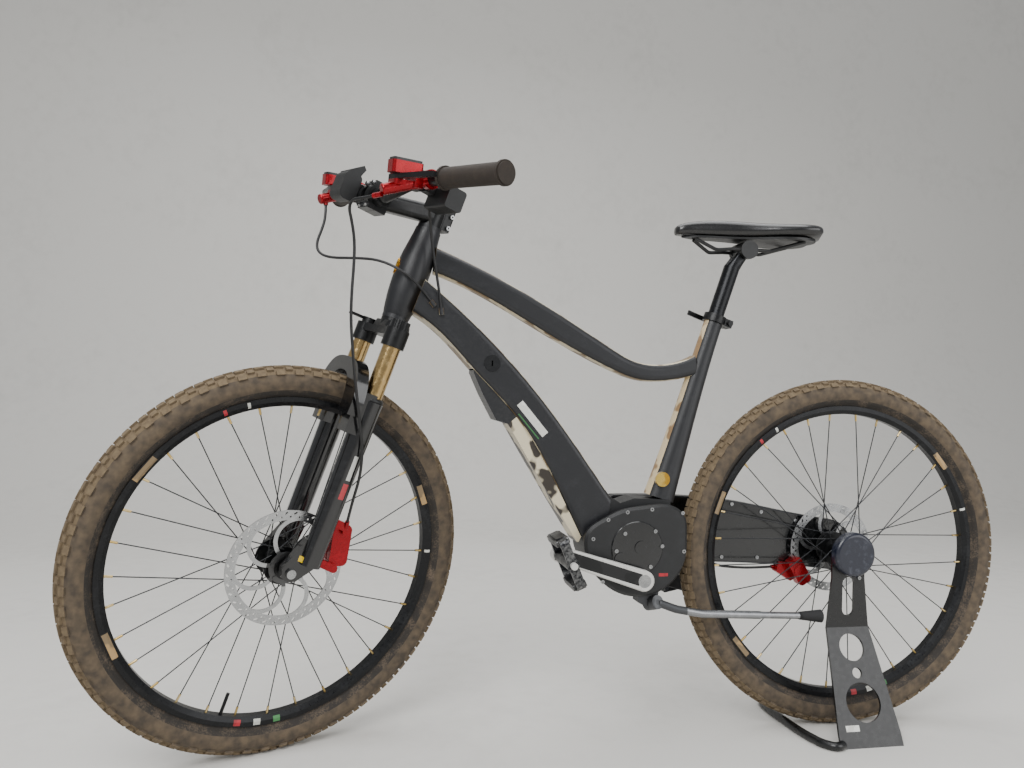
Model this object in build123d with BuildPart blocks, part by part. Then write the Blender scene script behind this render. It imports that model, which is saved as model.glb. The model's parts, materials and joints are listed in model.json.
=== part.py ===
from build123d import *
import math
import os

# Electric hardtail mountain bicycle on a one-sided display stand.
# Millimetres. The origin is on the floor under the rear axle; +X is forward, +Y is the
# rider's left, +Z is up. The fork is stored turned to the left, as it stands on show.

# ---------------------------------------------------------------- driving dimensions
WHEEL_RADIUS = 346            # 27.5 x 2.1 tyre
TYRE_SECTION = 55.4           # width of the inflated tyre
WHEELBASE = 1104              # with the fork straight ahead
HEAD_ANGLE = 71               # steering axis above the horizontal
SEAT_ANGLE = 71.6             # seat tube above the horizontal
FORK_OFFSET = 43              # axle ahead of the steering axis
STEER_REST = 23.3             # the fork's turn to the left as stored
FORK_TRAVEL = 80
BAR_WIDTH = 658
CRANK_LENGTH = 170
CRANK_REST = 17.5             # left crank above straight ahead as stored
FRONT_ROTOR = 203             # disc diameters
REAR_ROTOR = 180

RUN = 0.05                    # radial clearance of a shaft that turns or slides
GAP = 0.3                     # face clearance between bodies that move past each other

# wheels
RIM_INNER = 277               # spoke face of the rim
RIM_WALL_TOP = 293.2
RIM_WIDTH = 25
TYRE_WALL = 3.6
SPOKES = 32
SPOKE_DIA = 2.0
NIPPLE_DIA = 4.2
NIPPLE_LENGTH = 13
ROTOR_THICKNESS = 1.8
ROTOR_BAND = 17
FRONT_ROTOR_Y = 35            # disc planes, from the wheel's own centre plane
REAR_ROTOR_Y = -34.3
FLANGE_RADIUS = 29

# fork
LEG_SPACING = 130
STANCHION_DIA = 32
LEG_X = 16                    # legs ahead of the steering axis
CROWN_BOTTOM = 419            # heights along the steering axis, from the foot of the axis
CROWN_TOP = 452
LOWERS_TOP = 318
HEAD_BOTTOM = 480
HEAD_TOP = 648
STEERER_DIA = 28.6
STEM_TOP = 700

# bar and stem
BAR_X = 118                   # clamp centre ahead of the steering axis
BAR_Z = 656
BAR_CLAMP_DIA = 31.8
BAR_DIA = 22.2
GRIP_DIA = 34
GRIP_LENGTH = 145

# frame
BB_X, BB_Z = 449, 311         # crank axle
DRIVE_X, DRIVE_Z = 450, 367   # output sprocket inside the chain arm
SPROCKET_RADIUS = 28.5        # pitch radius of both 14-tooth sprockets
CHAIN_Y = -60
HOUSING_HALF = 44             # half the width of the drive unit
COVER_OUT = 57                # left face of the drive unit's cover
TOP_TUBE_WIDTH = 40
DOWN_TUBE_WIDTH = 70
ARM_INNER_Y = -44
ARM_OUTER_Y = -76
WALL = 3

# seat
POST_DIA = 30.9
COLLAR_S = 512                # collar's lower face, along the seat tube from the crank axle

# hoses
HOSE_DIA = 5
GLAND_RADIUS = 4.2

# display stand
PLATE = 5
STAND_Y = 33                  # inner face of the upright plate
STAND_FOOT_Y = 121            # inner face of the plate at the floor
STAND_BEND_Z = 200
STAND_TUBE_DIA = 16
CUP_DIA = 87

# ---------------------------------------------------------------- frames of reference
head_rad = math.radians(HEAD_ANGLE)
steer_rad = math.radians(STEER_REST)
TYRE_CORE = WHEEL_RADIUS - TYRE_SECTION / 2

# Height of the steering axis's foot that stands the turned, leaning front wheel on the floor.
wheel_lean = math.sin(steer_rad) * math.cos(head_rad)
front_axle_z = TYRE_CORE * math.sqrt(1 - wheel_lean ** 2) + TYRE_SECTION / 2
foot_x = WHEELBASE - FORK_OFFSET * math.sin(head_rad)
foot_z = front_axle_z - FORK_OFFSET * math.cos(steer_rad) * math.cos(head_rad)

BIKE = Plane.XY
HEAD = Plane(
    origin=(foot_x, 0, foot_z),
    x_dir=(math.sin(head_rad), 0, math.cos(head_rad)),
    z_dir=(-math.cos(head_rad), 0, math.sin(head_rad)),
)
FORK = Plane(
    origin=HEAD.origin,
    x_dir=(
        math.cos(steer_rad) * math.sin(head_rad), math.sin(steer_rad),
        math.cos(steer_rad) * math.cos(head_rad),
    ),
    z_dir=HEAD.z_dir,
)
seat_rad = math.radians(SEAT_ANGLE)
SEAT = Plane(
    origin=(BB_X, 0, BB_Z),
    x_dir=(math.sin(seat_rad), 0, math.cos(seat_rad)),
    z_dir=(-math.cos(seat_rad), 0, math.sin(seat_rad)),
)


def moved(frame, x, y, z):
    """A copy of a frame with its origin at x, y, z of that frame."""
    return Plane(origin=frame.from_local_coords((x, y, z)), x_dir=frame.x_dir, z_dir=frame.z_dir)


def side(frame, y=0.0):
    """Sketch plane with x forward and y up. Extrusions run to the right."""
    origin = frame.from_local_coords((0, y, 0))
    return Plane(origin=origin, x_dir=frame.x_dir, z_dir=-frame.y_dir)


def facing(frame, x=0.0):
    """Sketch plane with x to the left and y up. Extrusions run forward."""
    origin = frame.from_local_coords((x, 0, 0))
    return Plane(origin=origin, x_dir=frame.y_dir, z_dir=frame.x_dir)


def spin_axis(frame):
    """Left-right axis through a frame's origin."""
    return Axis(frame.origin, frame.y_dir)


def along(start, end, frame=BIKE):
    """Plane at start with its normal towards end, and the distance between them."""
    first = Vector(frame.from_local_coords(start))
    last = Vector(frame.from_local_coords(end))
    return Plane(origin=first, z_dir=last - first), (last - first).length


def save(part, name):
    """Label a sub-part and write it to its own file."""
    part.label = name
    export_step(part, f"parts/{name}.step")


def build_inset(outline, depth):
    """Smooth closed outline that runs inside another at an even depth."""
    points = 48
    with BuildSketch() as shrunk:
        add(outline)
        offset(amount=-depth, mode=Mode.REPLACE)
    ring = shrunk.sketch.face().outer_wire()
    with BuildSketch() as smooth:
        with BuildLine():
            Spline(*[ring @ (step / points) for step in range(points)], periodic=True)
        make_face()
    return smooth.sketch


def build_gland(start, onward, reach):
    """Hose fitting whose free face lies at start and faces onward."""
    with BuildPart() as fitting:
        with BuildSketch(Plane(origin=start, z_dir=Vector(onward) - Vector(start))):
            Circle(GLAND_RADIUS)
        extrude(amount=-reach)
    return fitting.part


os.makedirs("parts", exist_ok=True)
REAR_AXLE = moved(BIKE, 0, 0, WHEEL_RADIUS)
FRONT_AXLE = moved(FORK, FORK_OFFSET, 0, 0)
CRANK = moved(BIKE, BB_X, 0, BB_Z)
DRIVE = moved(BIKE, DRIVE_X, 0, DRIVE_Z)


# ---------------------------------------------------------------- wheels
def build_rim(axle):
    """Double-wall rim with its valve stem at the bottom."""
    half = RIM_WIDTH / 2
    floor = RIM_INNER + 9
    with BuildPart() as rim:
        with BuildSketch(facing(axle)):
            with BuildLine():
                Polyline(
                    (-half, RIM_WALL_TOP), (-half, floor - 1), (-7, RIM_INNER), (7, RIM_INNER),
                    (half, floor - 1), (half, RIM_WALL_TOP), (half - 1.7, RIM_WALL_TOP),
                    (half - 1.7, floor + 2), (1.7 - half, floor + 2), (1.7 - half, RIM_WALL_TOP),
                    close=True,
                )
            make_face()
            with BuildLine():
                Polyline(
                    (-9, floor), (-6, RIM_INNER + 2), (6, RIM_INNER + 2), (9, floor), close=True
                )
            make_face(mode=Mode.SUBTRACT)
        revolve(axis=spin_axis(axle))
        with BuildSketch(moved(axle, 0, 0, -RIM_INNER - 0.5)):
            Circle(3)
        extrude(amount=38)
    return rim.part


def build_tyre(axle):
    """Hollow casing whose beads sit between the rim's walls."""
    bead_low = RIM_INNER + 11.2
    with BuildPart() as tyre:
        with BuildSketch(facing(axle)):
            with Locations((0, TYRE_CORE)):
                Circle(TYRE_SECTION / 2)
                Circle(TYRE_SECTION / 2 - TYRE_WALL, mode=Mode.SUBTRACT)
            with Locations((0, RIM_WALL_TOP - 10)):
                Rectangle(RIM_WIDTH + 1, 21, mode=Mode.SUBTRACT)
            with Locations((0, RIM_WALL_TOP)):
                Rectangle(13, 16, mode=Mode.SUBTRACT)
            with Locations((8.6, bead_low + 5), (-8.6, bead_low + 5)):
                Rectangle(4.1, 10)
        revolve(axis=spin_axis(axle))
    return tyre.part


def build_spokes(axle, left_flange, right_flange):
    """Three-cross lacing: each spoke and its nipple is one solid."""
    pitch = 360 / SPOKES
    cross_turn = 3 * 2 * pitch
    spoke_end = RIM_INNER - NIPPLE_LENGTH + 1
    with BuildPart() as spokes:
        for flange, hand in ((left_flange, 1), (right_flange, -1)):
            for lead in (1, -1):
                spoke_planes, nipple_planes = [], []
                for step in range(SPOKES // 4):
                    index = 4 * step + (0 if hand > 0 else 1) + (0 if lead > 0 else 2)
                    rim_turn = math.radians(index * pitch + pitch / 2)
                    hub_turn = rim_turn + math.radians(lead * cross_turn)
                    hub_y = flange + 1.8 * lead
                    start = (FLANGE_RADIUS * math.cos(hub_turn), hub_y, FLANGE_RADIUS * math.sin(hub_turn))
                    rim_at = (RIM_INNER * math.cos(rim_turn), 3 * hand, RIM_INNER * math.sin(rim_turn))
                    plane, length = along(start, rim_at, axle)
                    spoke_planes.append(plane)
                    nipple_planes.append(plane.offset(length - NIPPLE_LENGTH))
                with BuildSketch(*spoke_planes):
                    Circle(SPOKE_DIA / 2)
                extrude(amount=length - NIPPLE_LENGTH)
                with BuildSketch(*nipple_planes):
                    Circle(NIPPLE_DIA / 2)
                extrude(amount=NIPPLE_LENGTH + 1)
    return spokes.part


def build_rotor(axle, y, diameter, inner_radius, arms, outward):
    """Slotted brake disc with swept arms; its six bolt heads face outward, left being 1."""
    outer = diameter / 2
    band_inner = outer - ROTOR_BAND
    arm_root = inner_radius + 5
    sweep = math.radians(38)
    arm_line = ThreePointArc(
        (arm_root, 0),
        ((arm_root + band_inner) * 0.52, (band_inner - arm_root) * 0.02),
        ((band_inner + 4) * math.cos(sweep), (band_inner + 4) * math.sin(sweep)),
    )
    with BuildPart() as rotor:
        with BuildSketch(side(axle, y + ROTOR_THICKNESS / 2)):
            Circle(outer)
            Circle(band_inner, mode=Mode.SUBTRACT)
            Circle(inner_radius + 9)
            with PolarLocations(0, arms):
                SlotArc(arm_line, 7)
            with PolarLocations(outer - 5, 36):
                SlotOverall(7, 3, rotation=55, mode=Mode.SUBTRACT)
            with PolarLocations(outer - 11.5, 36, start_angle=5):
                Circle(1.7, mode=Mode.SUBTRACT)
            Circle(inner_radius, mode=Mode.SUBTRACT)
        extrude(amount=ROTOR_THICKNESS)
        with BuildSketch(side(axle, y + outward * ROTOR_THICKNESS / 2)):
            with PolarLocations(inner_radius + 4.5, 6):
                Circle(3.4)
        extrude(amount=-1.6 * outward)
    return rotor.part


def build_hub(axle, outline, bore_radius):
    """Turned hub shell; the outline is a list of left-right position and radius."""
    with BuildPart() as hub:
        with BuildSketch(facing(axle)):
            with BuildLine():
                Polyline((outline[0][0], bore_radius), *outline, (outline[-1][0], bore_radius), close=True)
            make_face()
        revolve(axis=spin_axis(axle))
    return hub.part


FRONT_FLANGES = (22, -30)
REAR_FLANGES = (24, -20)
AXLE_RADIUS = 4.5
REAR_AXLE_RADIUS = 8
HUB_RUN = 0.05

for wheel_name, axle, flanges in (
    ("front", FRONT_AXLE, FRONT_FLANGES), ("rear", REAR_AXLE, REAR_FLANGES)
):
    save(build_rim(axle), f"{wheel_name}_rim")
    save(build_tyre(axle), f"{wheel_name}_tyre")
    save(build_spokes(axle, *flanges), f"{wheel_name}_spokes")

save(build_rotor(FRONT_AXLE, FRONT_ROTOR_Y, FRONT_ROTOR, 19, 7, 1), "front_rotor")
save(build_rotor(REAR_AXLE, REAR_ROTOR_Y, REAR_ROTOR, 24, 6, -1), "rear_rotor")

front_left, front_right = FRONT_FLANGES
front_hub = build_hub(
    FRONT_AXLE,
    [
        (49.7, 11), (40, 11), (40, 18.9), (FRONT_ROTOR_Y + 0.9, 18.9), (FRONT_ROTOR_Y - 0.9, 18.9),
        (FRONT_ROTOR_Y - 0.9, 26), (31, 26), (28, 17), (front_left + 1.5, 17), (front_left + 1.5, 33),
        (front_left - 1.5, 33), (front_left - 1.5, 16), (15, 14), (-24, 14), (front_right + 1.5, 16),
        (front_right + 1.5, 33), (front_right - 1.5, 33), (front_right - 1.5, 15), (-40, 11), (-49.7, 11),
    ],
    AXLE_RADIUS + HUB_RUN,
)
save(front_hub, "front_hub")

rear_left, rear_right = REAR_FLANGES
rear_disc_face = REAR_ROTOR_Y + ROTOR_THICKNESS / 2
rear_hub = build_hub(
    REAR_AXLE,
    [
        (30, 18), (rear_left + 1.5, 20), (rear_left + 1.5, 33), (rear_left - 1.5, 33), (rear_left - 1.5, 20),
        (12, 19), (-10, 19), (rear_right + 1.5, 21), (rear_right + 1.5, 33), (rear_right - 1.5, 33),
        (rear_right - 1.5, 24), (-27, 24), (-29, 31), (rear_disc_face, 31), (rear_disc_face, 23.9),
        (REAR_ROTOR_Y - 0.9, 23.9), (-38.5, 20), (-55, 17),
    ],
    REAR_AXLE_RADIUS + HUB_RUN,
)
save(rear_hub, "rear_hub")

# ---------------------------------------------------------------- head tube
with BuildPart() as head_form:
    with BuildSketch(side(HEAD)):
        with BuildLine():
            Polyline((0, HEAD_TOP), (0, HEAD_BOTTOM), (25, HEAD_BOTTOM))
            Spline(
                (25, HEAD_BOTTOM), (30, 515), (32, 550), (30.5, 592), (26, 625), (23.5, HEAD_TOP),
            )
            Line((23.5, HEAD_TOP), (0, HEAD_TOP))
        make_face()
    revolve(axis=Axis(HEAD.origin, HEAD.z_dir))

with BuildPart() as head_tube:
    add(head_form.part)
    with BuildSketch(moved(HEAD, 0, 0, HEAD_BOTTOM - 8)):
        Circle(24.5)
    extrude(amount=8)
    with BuildSketch(moved(HEAD, 0, 0, HEAD_TOP)):
        Circle(22)
    extrude(amount=8)
    with BuildSketch(moved(HEAD, 0, 0, HEAD_BOTTOM + 14)):
        Circle(20)
    extrude(amount=HEAD_TOP - HEAD_BOTTOM - 28, mode=Mode.SUBTRACT)
    with BuildSketch(moved(HEAD, 0, 0, HEAD_BOTTOM - 10)):
        Circle(STEERER_DIA / 2 + RUN)
    extrude(amount=HEAD_TOP - HEAD_BOTTOM + 30, mode=Mode.SUBTRACT)
    with BuildSketch(facing(HEAD, 29)):
        with Locations((0, 566)):
            Circle(15)
    extrude(amount=4.5)
save(head_tube.part, "head_tube")

# ---------------------------------------------------------------- drive unit
HOUSING_OUTLINE = [
    (556, 376), (547, 402), (522, 419), (491, 434), (430, 445), (388, 445), (362, 428),
    (355, 391), (358, 341), (385, 298), (446, 275), (502, 290), (542, 330),
]


with BuildSketch() as housing_outline:
    with BuildLine():
        Spline(*HOUSING_OUTLINE, periodic=True)
    make_face()
housing_inner = build_inset(housing_outline.sketch, 4)

with BuildPart() as housing_form:
    with BuildSketch(side(BIKE, HOUSING_HALF)):
        add(housing_inner)
    extrude(amount=2 * HOUSING_HALF)
    with BuildSketch(side(BIKE, 28)):
        with BuildLine():
            Polyline(
                (548, 380), (506, 462), (480, 446), (452, 455), (380, 452), (376, 400), (500, 380),
                close=True,
            )
        make_face()
    extrude(amount=56)

with BuildPart() as motor_housing:
    add(housing_form.part)
    with BuildSketch(side(BIKE, HOUSING_HALF - 5)):
        with Locations((BB_X + 10, BB_Z + 55)):
            Circle(56)
    extrude(amount=2 * HOUSING_HALF - 10, mode=Mode.SUBTRACT)
    with BuildSketch(side(BIKE, HOUSING_HALF - 5)):
        with Locations((BB_X + 10, BB_Z + 55)):
            Circle(50)
            Circle(20, mode=Mode.SUBTRACT)
    extrude(amount=60)
    with BuildSketch(side(CRANK, HOUSING_HALF + 1)):
        Circle(12 + RUN)
    extrude(amount=2 * HOUSING_HALF + 2, mode=Mode.SUBTRACT)
    with BuildSketch(side(DRIVE, 0)):
        Circle(9 + RUN)
    extrude(amount=HOUSING_HALF + 1, mode=Mode.SUBTRACT)
    fillet(motor_housing.edges().filter_by(GeomType.CIRCLE).sort_by(Axis.Y)[-1:], 0.5)
save(motor_housing.part, "motor_housing")

ROUND_COVER = (455, 366)
ROUND_COVER_RADIUS = 50
SMALL_PLUG = (487, 347)
with BuildPart() as motor_cover:
    with BuildSketch(side(BIKE, COVER_OUT)):
        add(housing_outline.sketch)
    extrude(amount=COVER_OUT - HOUSING_HALF)
    chamfer(motor_cover.faces().sort_by(Axis.Y)[-1].edges(), 5)
    with BuildSketch(side(BIKE, COVER_OUT + 1)):
        with Locations(ROUND_COVER):
            Circle(ROUND_COVER_RADIUS + 0.2)
    extrude(amount=3, mode=Mode.SUBTRACT)
    with BuildSketch(side(CRANK, COVER_OUT + 1)):
        Circle(14)
    extrude(amount=COVER_OUT, mode=Mode.SUBTRACT)
save(motor_cover.part, "motor_cover")

with BuildPart() as motor_round_cover:
    with BuildSketch(side(BIKE, COVER_OUT + 2)):
        with Locations(ROUND_COVER):
            Circle(ROUND_COVER_RADIUS)
    extrude(amount=4)
    chamfer(motor_round_cover.faces().sort_by(Axis.Y)[-1].edges(), 1.5)
    with BuildSketch(side(BIKE, COVER_OUT + 4)):
        with Locations((ROUND_COVER[0] - 8, ROUND_COVER[1] + 1)):
            Circle(13)
        with Locations(SMALL_PLUG):
            Circle(12)
    extrude(amount=3)
    with BuildSketch(side(CRANK, COVER_OUT + 5)):
        Circle(14)
    extrude(amount=COVER_OUT, mode=Mode.SUBTRACT)
save(motor_round_cover.part, "motor_round_cover")

# ---------------------------------------------------------------- seat tube
# Sections across the seat tube: height along it, centre ahead of its axis, depth, width.
SEAT_SECTIONS = [(152, -8, 60, 50), (250, -6, 50, 44), (390, -2, 40, 38), (COLLAR_S, 0, 36, 36)]


with BuildPart() as seat_form:
    for height, centre, depth, width in SEAT_SECTIONS:
        with BuildSketch(moved(SEAT, centre, 0, height)):
            RectangleRounded(depth, width, min(depth, width) / 2 - 0.2)
    loft()
with BuildPart() as seat_tube:
    add(seat_form.part)
    with BuildSketch(moved(SEAT, -7, 0, 140)):
        RectangleRounded(46, 36, 15)
    with BuildSketch(moved(SEAT, -2, 0, 280)):
        RectangleRounded(34, 32, 15)
    loft(mode=Mode.SUBTRACT)
    with BuildSketch(moved(SEAT, 0, 0, 279)):
        Circle(POST_DIA / 2 + RUN)
    extrude(amount=COLLAR_S, mode=Mode.SUBTRACT)
    with BuildSketch(side(BIKE, 29)):
        with Locations((396, 491)):
            Circle(14)
    extrude(amount=8)
    with BuildSketch(moved(SEAT, -5, 0, 170)):
        RectangleRounded(30, 26, 12)
    extrude(amount=60, mode=Mode.SUBTRACT)
    add(housing_form.part, mode=Mode.SUBTRACT)
save(seat_tube.part, "seat_tube")

# ---------------------------------------------------------------- top tube
TOP_UPPER = [(838, 911), (733, 867), (600, 798), (500, 739), (450, 715), (411, 710), (330, 731)]
TOP_WALL = 4.5                # measured upright, so that the sloping wall is WALL thick
TOP_LOWER = [(330, 692), (390, 679), (440, 679), (500, 698), (650, 773), (842, 864)]


with BuildSketch() as top_tube_outline:
    with BuildLine():
        Spline(*TOP_UPPER)
        Line(TOP_UPPER[-1], TOP_LOWER[0])
        Spline(*TOP_LOWER)
        Line(TOP_LOWER[-1], TOP_UPPER[0])
    make_face()

with BuildPart() as top_tube:
    with BuildSketch(side(BIKE, TOP_TUBE_WIDTH / 2)):
        add(top_tube_outline.sketch)
    extrude(amount=TOP_TUBE_WIDTH)
    long_edges = top_tube.edges().filter_by(lambda edge: edge.length > 200)
    fillet(long_edges, 11)
    with BuildSketch(side(BIKE, TOP_TUBE_WIDTH / 2 - WALL)):
        with BuildLine():
            Spline(*[(x, z - TOP_WALL) for x, z in TOP_UPPER])
            Line((TOP_UPPER[-1][0], TOP_UPPER[-1][1] - TOP_WALL), (TOP_LOWER[0][0], TOP_LOWER[0][1] + TOP_WALL))
            Spline(*[(x, z + TOP_WALL) for x, z in TOP_LOWER])
            Line((TOP_LOWER[-1][0], TOP_LOWER[-1][1] + TOP_WALL), (TOP_UPPER[0][0], TOP_UPPER[0][1] - TOP_WALL))
        make_face()
    extrude(amount=TOP_TUBE_WIDTH - 2 * WALL, mode=Mode.SUBTRACT)
    add(head_form.part, mode=Mode.SUBTRACT)
    add(seat_form.part, mode=Mode.SUBTRACT)
save(top_tube.part, "top_tube")

# ---------------------------------------------------------------- down tube and battery
DOWN_UPPER = [(858, 850), (800, 803), (700, 709), (644, 648), (555, 534), (500, 458)]
DOWN_LOWER = [(556, 384), (611, 490), (683, 603), (765, 688), (833, 757), (880, 790)]
BATTERY_TOP = [(742, 700), (660, 628), (540, 452), (522, 424)]
BATTERY_BOTTOM = [(562, 372), (611, 448), (656, 520), (700, 592), (722, 598), (748, 645), (766, 684)]
BATTERY_GAP = 0.6

with BuildPart() as down_form:
    with BuildSketch(side(BIKE, DOWN_TUBE_WIDTH / 2)):
        with BuildLine():
            Spline(*DOWN_UPPER)
            Polyline(DOWN_UPPER[-1], (505, 420), DOWN_LOWER[0])
            Spline(*DOWN_LOWER)
            Line(DOWN_LOWER[-1], DOWN_UPPER[0])
        make_face()
    extrude(amount=DOWN_TUBE_WIDTH)
    long_edges = down_form.edges().filter_by(lambda edge: edge.length > 300)
    fillet(long_edges, 10)

with BuildPart() as battery_bay:
    with BuildSketch(side(BIKE, 28)):
        with BuildLine():
            Polyline(*BATTERY_TOP, (540, 360), (760, 600), (790, 684), close=True)
        make_face()
    extrude(amount=56)

BRAKE_PORT = (848, 38.5, 810)
BRAKE_PORT_NEXT = (872, 44, 840)
CABLE_PORT = (829.5, 38.5, 798)
CABLE_PORT_NEXT = (833, 40, 824)
PORTS = [(848, 810), (829, 798)]
with BuildPart() as down_tube:
    add(down_form.part)
    with BuildSketch(side(BIKE, DOWN_TUBE_WIDTH / 2 - 5)):
        with BuildLine():
            Polyline((862, 835), (800, 788), (742, 732), (742, 704), (800, 738), (862, 788), close=True)
        make_face()
    extrude(amount=DOWN_TUBE_WIDTH - 10, mode=Mode.SUBTRACT)
    add(battery_bay.part, mode=Mode.SUBTRACT)
    add(head_form.part, mode=Mode.SUBTRACT)
    add(housing_form.part, mode=Mode.SUBTRACT)
    with BuildSketch(side(BIKE, DOWN_TUBE_WIDTH / 2 + 0.9)):
        with Locations(*PORTS):
            SlotOverall(18, 11, rotation=40)
    extrude(amount=1.5)
    add(build_gland(BRAKE_PORT, BRAKE_PORT_NEXT, 12))
    add(build_gland(CABLE_PORT, CABLE_PORT_NEXT, 12))
    with BuildSketch(side(BIKE, DOWN_TUBE_WIDTH / 2 + 1)):
        with Locations((733, 702)):
            Circle(10 + RUN)
    extrude(amount=10, mode=Mode.SUBTRACT)
save(down_tube.part, "down_tube")

with BuildPart() as battery:
    with BuildSketch(side(BIKE, 28 - BATTERY_GAP)):
        with BuildLine():
            Polyline(*BATTERY_TOP, BATTERY_BOTTOM[0])
            Polyline(*BATTERY_BOTTOM, BATTERY_TOP[0])
        make_face()
        offset(amount=-BATTERY_GAP, mode=Mode.REPLACE)
    extrude(amount=2 * (28 - BATTERY_GAP))
    with BuildSketch(side(BIKE, 31)):
        with BuildLine():
            Polyline(*BATTERY_BOTTOM)
            Polyline(BATTERY_BOTTOM[-1], (766, 689), (683, 603), (611, 490), (556, 384), BATTERY_BOTTOM[0])
        make_face()
    extrude(amount=62)
    add(housing_form.part, mode=Mode.SUBTRACT)
save(battery.part, "battery")

LOCK = (733, 702)
with BuildPart() as key_lock:
    with BuildSketch(side(BIKE, DOWN_TUBE_WIDTH / 2 + 1.5)):
        with Locations(LOCK):
            Circle(10)
            Rectangle(3, 10, mode=Mode.SUBTRACT)
    extrude(amount=8)
    with BuildSketch(side(BIKE, DOWN_TUBE_WIDTH / 2 + 1.5)):
        with Locations(LOCK):
            Circle(15)
            Circle(10, mode=Mode.SUBTRACT)
    extrude(amount=1.5)
save(key_lock.part, "key_lock")

# ---------------------------------------------------------------- chain arm on the right
REAR_END = (0, 350)
with BuildSketch() as arm_outline:
    with BuildLine():
        Spline((470, 452), (324, 450), (221, 441), (80, 415), (0, 402))
        ThreePointArc((0, 402), (-52, 348), (-8, 297))
        Spline((-8, 297), (80, 307), (250, 317), (456, 322))
        ThreePointArc((456, 322), (504, 378), (470, 452))
    make_face()
arm_inside = build_inset(arm_outline.sketch, WALL)

with BuildPart() as arm_form:
    with BuildSketch(side(BIKE, ARM_INNER_Y)):
        add(arm_outline.sketch)
    extrude(amount=ARM_INNER_Y - ARM_OUTER_Y)

with BuildPart() as chain_arm:
    add(arm_form.part)
    fillet(chain_arm.faces().sort_by(Axis.Y)[0].edges(), 5)
    with BuildSketch(side(BIKE, ARM_INNER_Y)):
        add(arm_inside)
    extrude(amount=ARM_INNER_Y - ARM_OUTER_Y - WALL, mode=Mode.SUBTRACT)
    with BuildSketch(side(REAR_AXLE, ARM_OUTER_Y + 12)):
        Circle(20)
    extrude(amount=12)
    with BuildSketch(side(REAR_AXLE, 0)):
        Circle(REAR_AXLE_RADIUS)
    extrude(amount=90, mode=Mode.SUBTRACT)
save(chain_arm.part, "chain_arm")

HUB_DRIVE_RADIUS = 17
DRIVE_SHAFT_RADIUS = 9
with BuildPart() as arm_panel:
    with BuildSketch(side(BIKE, ARM_INNER_Y)):
        add(arm_inside)
    extrude(amount=WALL)
    with BuildSketch(side(REAR_AXLE, ARM_INNER_Y)):
        Circle(HUB_DRIVE_RADIUS + 3)
    extrude(amount=WALL, mode=Mode.SUBTRACT)
    with BuildSketch(side(DRIVE, ARM_INNER_Y)):
        Circle(DRIVE_SHAFT_RADIUS + 1)
    extrude(amount=WALL, mode=Mode.SUBTRACT)
save(arm_panel.part, "arm_panel")


def build_sprocket(axle, bore_radius, shaft_length):
    """Fourteen-tooth sprocket with its collar, and a shaft if one is given a length."""
    teeth = 14
    with BuildPart() as sprocket:
        with BuildSketch(side(axle, CHAIN_Y + 1.1)):
            Circle(SPROCKET_RADIUS - 2)
            with PolarLocations(SPROCKET_RADIUS - 2, teeth):
                RegularPolygon(4.4, 3, rotation=0)
        extrude(amount=2.2)
        with BuildSketch(side(axle, CHAIN_Y + 3)):
            Circle(HUB_DRIVE_RADIUS + 5)
        extrude(amount=6)
        if shaft_length:
            with BuildSketch(side(axle, CHAIN_Y + 3)):
                Circle(bore_radius)
            extrude(amount=-shaft_length)
        else:
            with BuildSketch(side(axle, CHAIN_Y + 4)):
                Circle(bore_radius)
            extrude(amount=8, mode=Mode.SUBTRACT)
    return sprocket.part


save(build_sprocket(REAR_AXLE, HUB_DRIVE_RADIUS + RUN, 0), "rear_sprocket")
save(build_sprocket(DRIVE, DRIVE_SHAFT_RADIUS, 35), "drive_sprocket")

chain_run = math.hypot(DRIVE_X, DRIVE_Z - WHEEL_RADIUS)
chain_slope = math.degrees(math.atan2(DRIVE_Z - WHEEL_RADIUS, DRIVE_X))
with BuildPart() as chain:
    with BuildSketch(side(BIKE, CHAIN_Y + 3.5)):
        with Locations((DRIVE_X / 2, (DRIVE_Z + WHEEL_RADIUS) / 2)):
            SlotCenterToCenter(chain_run, 2 * SPROCKET_RADIUS + 12, rotation=chain_slope)
            SlotCenterToCenter(
                chain_run, 2 * SPROCKET_RADIUS + 5.6, rotation=chain_slope, mode=Mode.SUBTRACT
            )
    extrude(amount=7)
save(chain.part, "chain")

CUP_OUT = 56
with BuildPart() as rear_axle:
    with BuildSketch(side(REAR_AXLE, CUP_OUT - 6)):
        Circle(REAR_AXLE_RADIUS)
    extrude(amount=CUP_OUT - 6 - ARM_OUTER_Y + 12)
    with BuildSketch(side(REAR_AXLE, ARM_OUTER_Y)):
        RegularPolygon(13, 6)
    extrude(amount=9)
save(rear_axle.part, "rear_axle")

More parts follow.
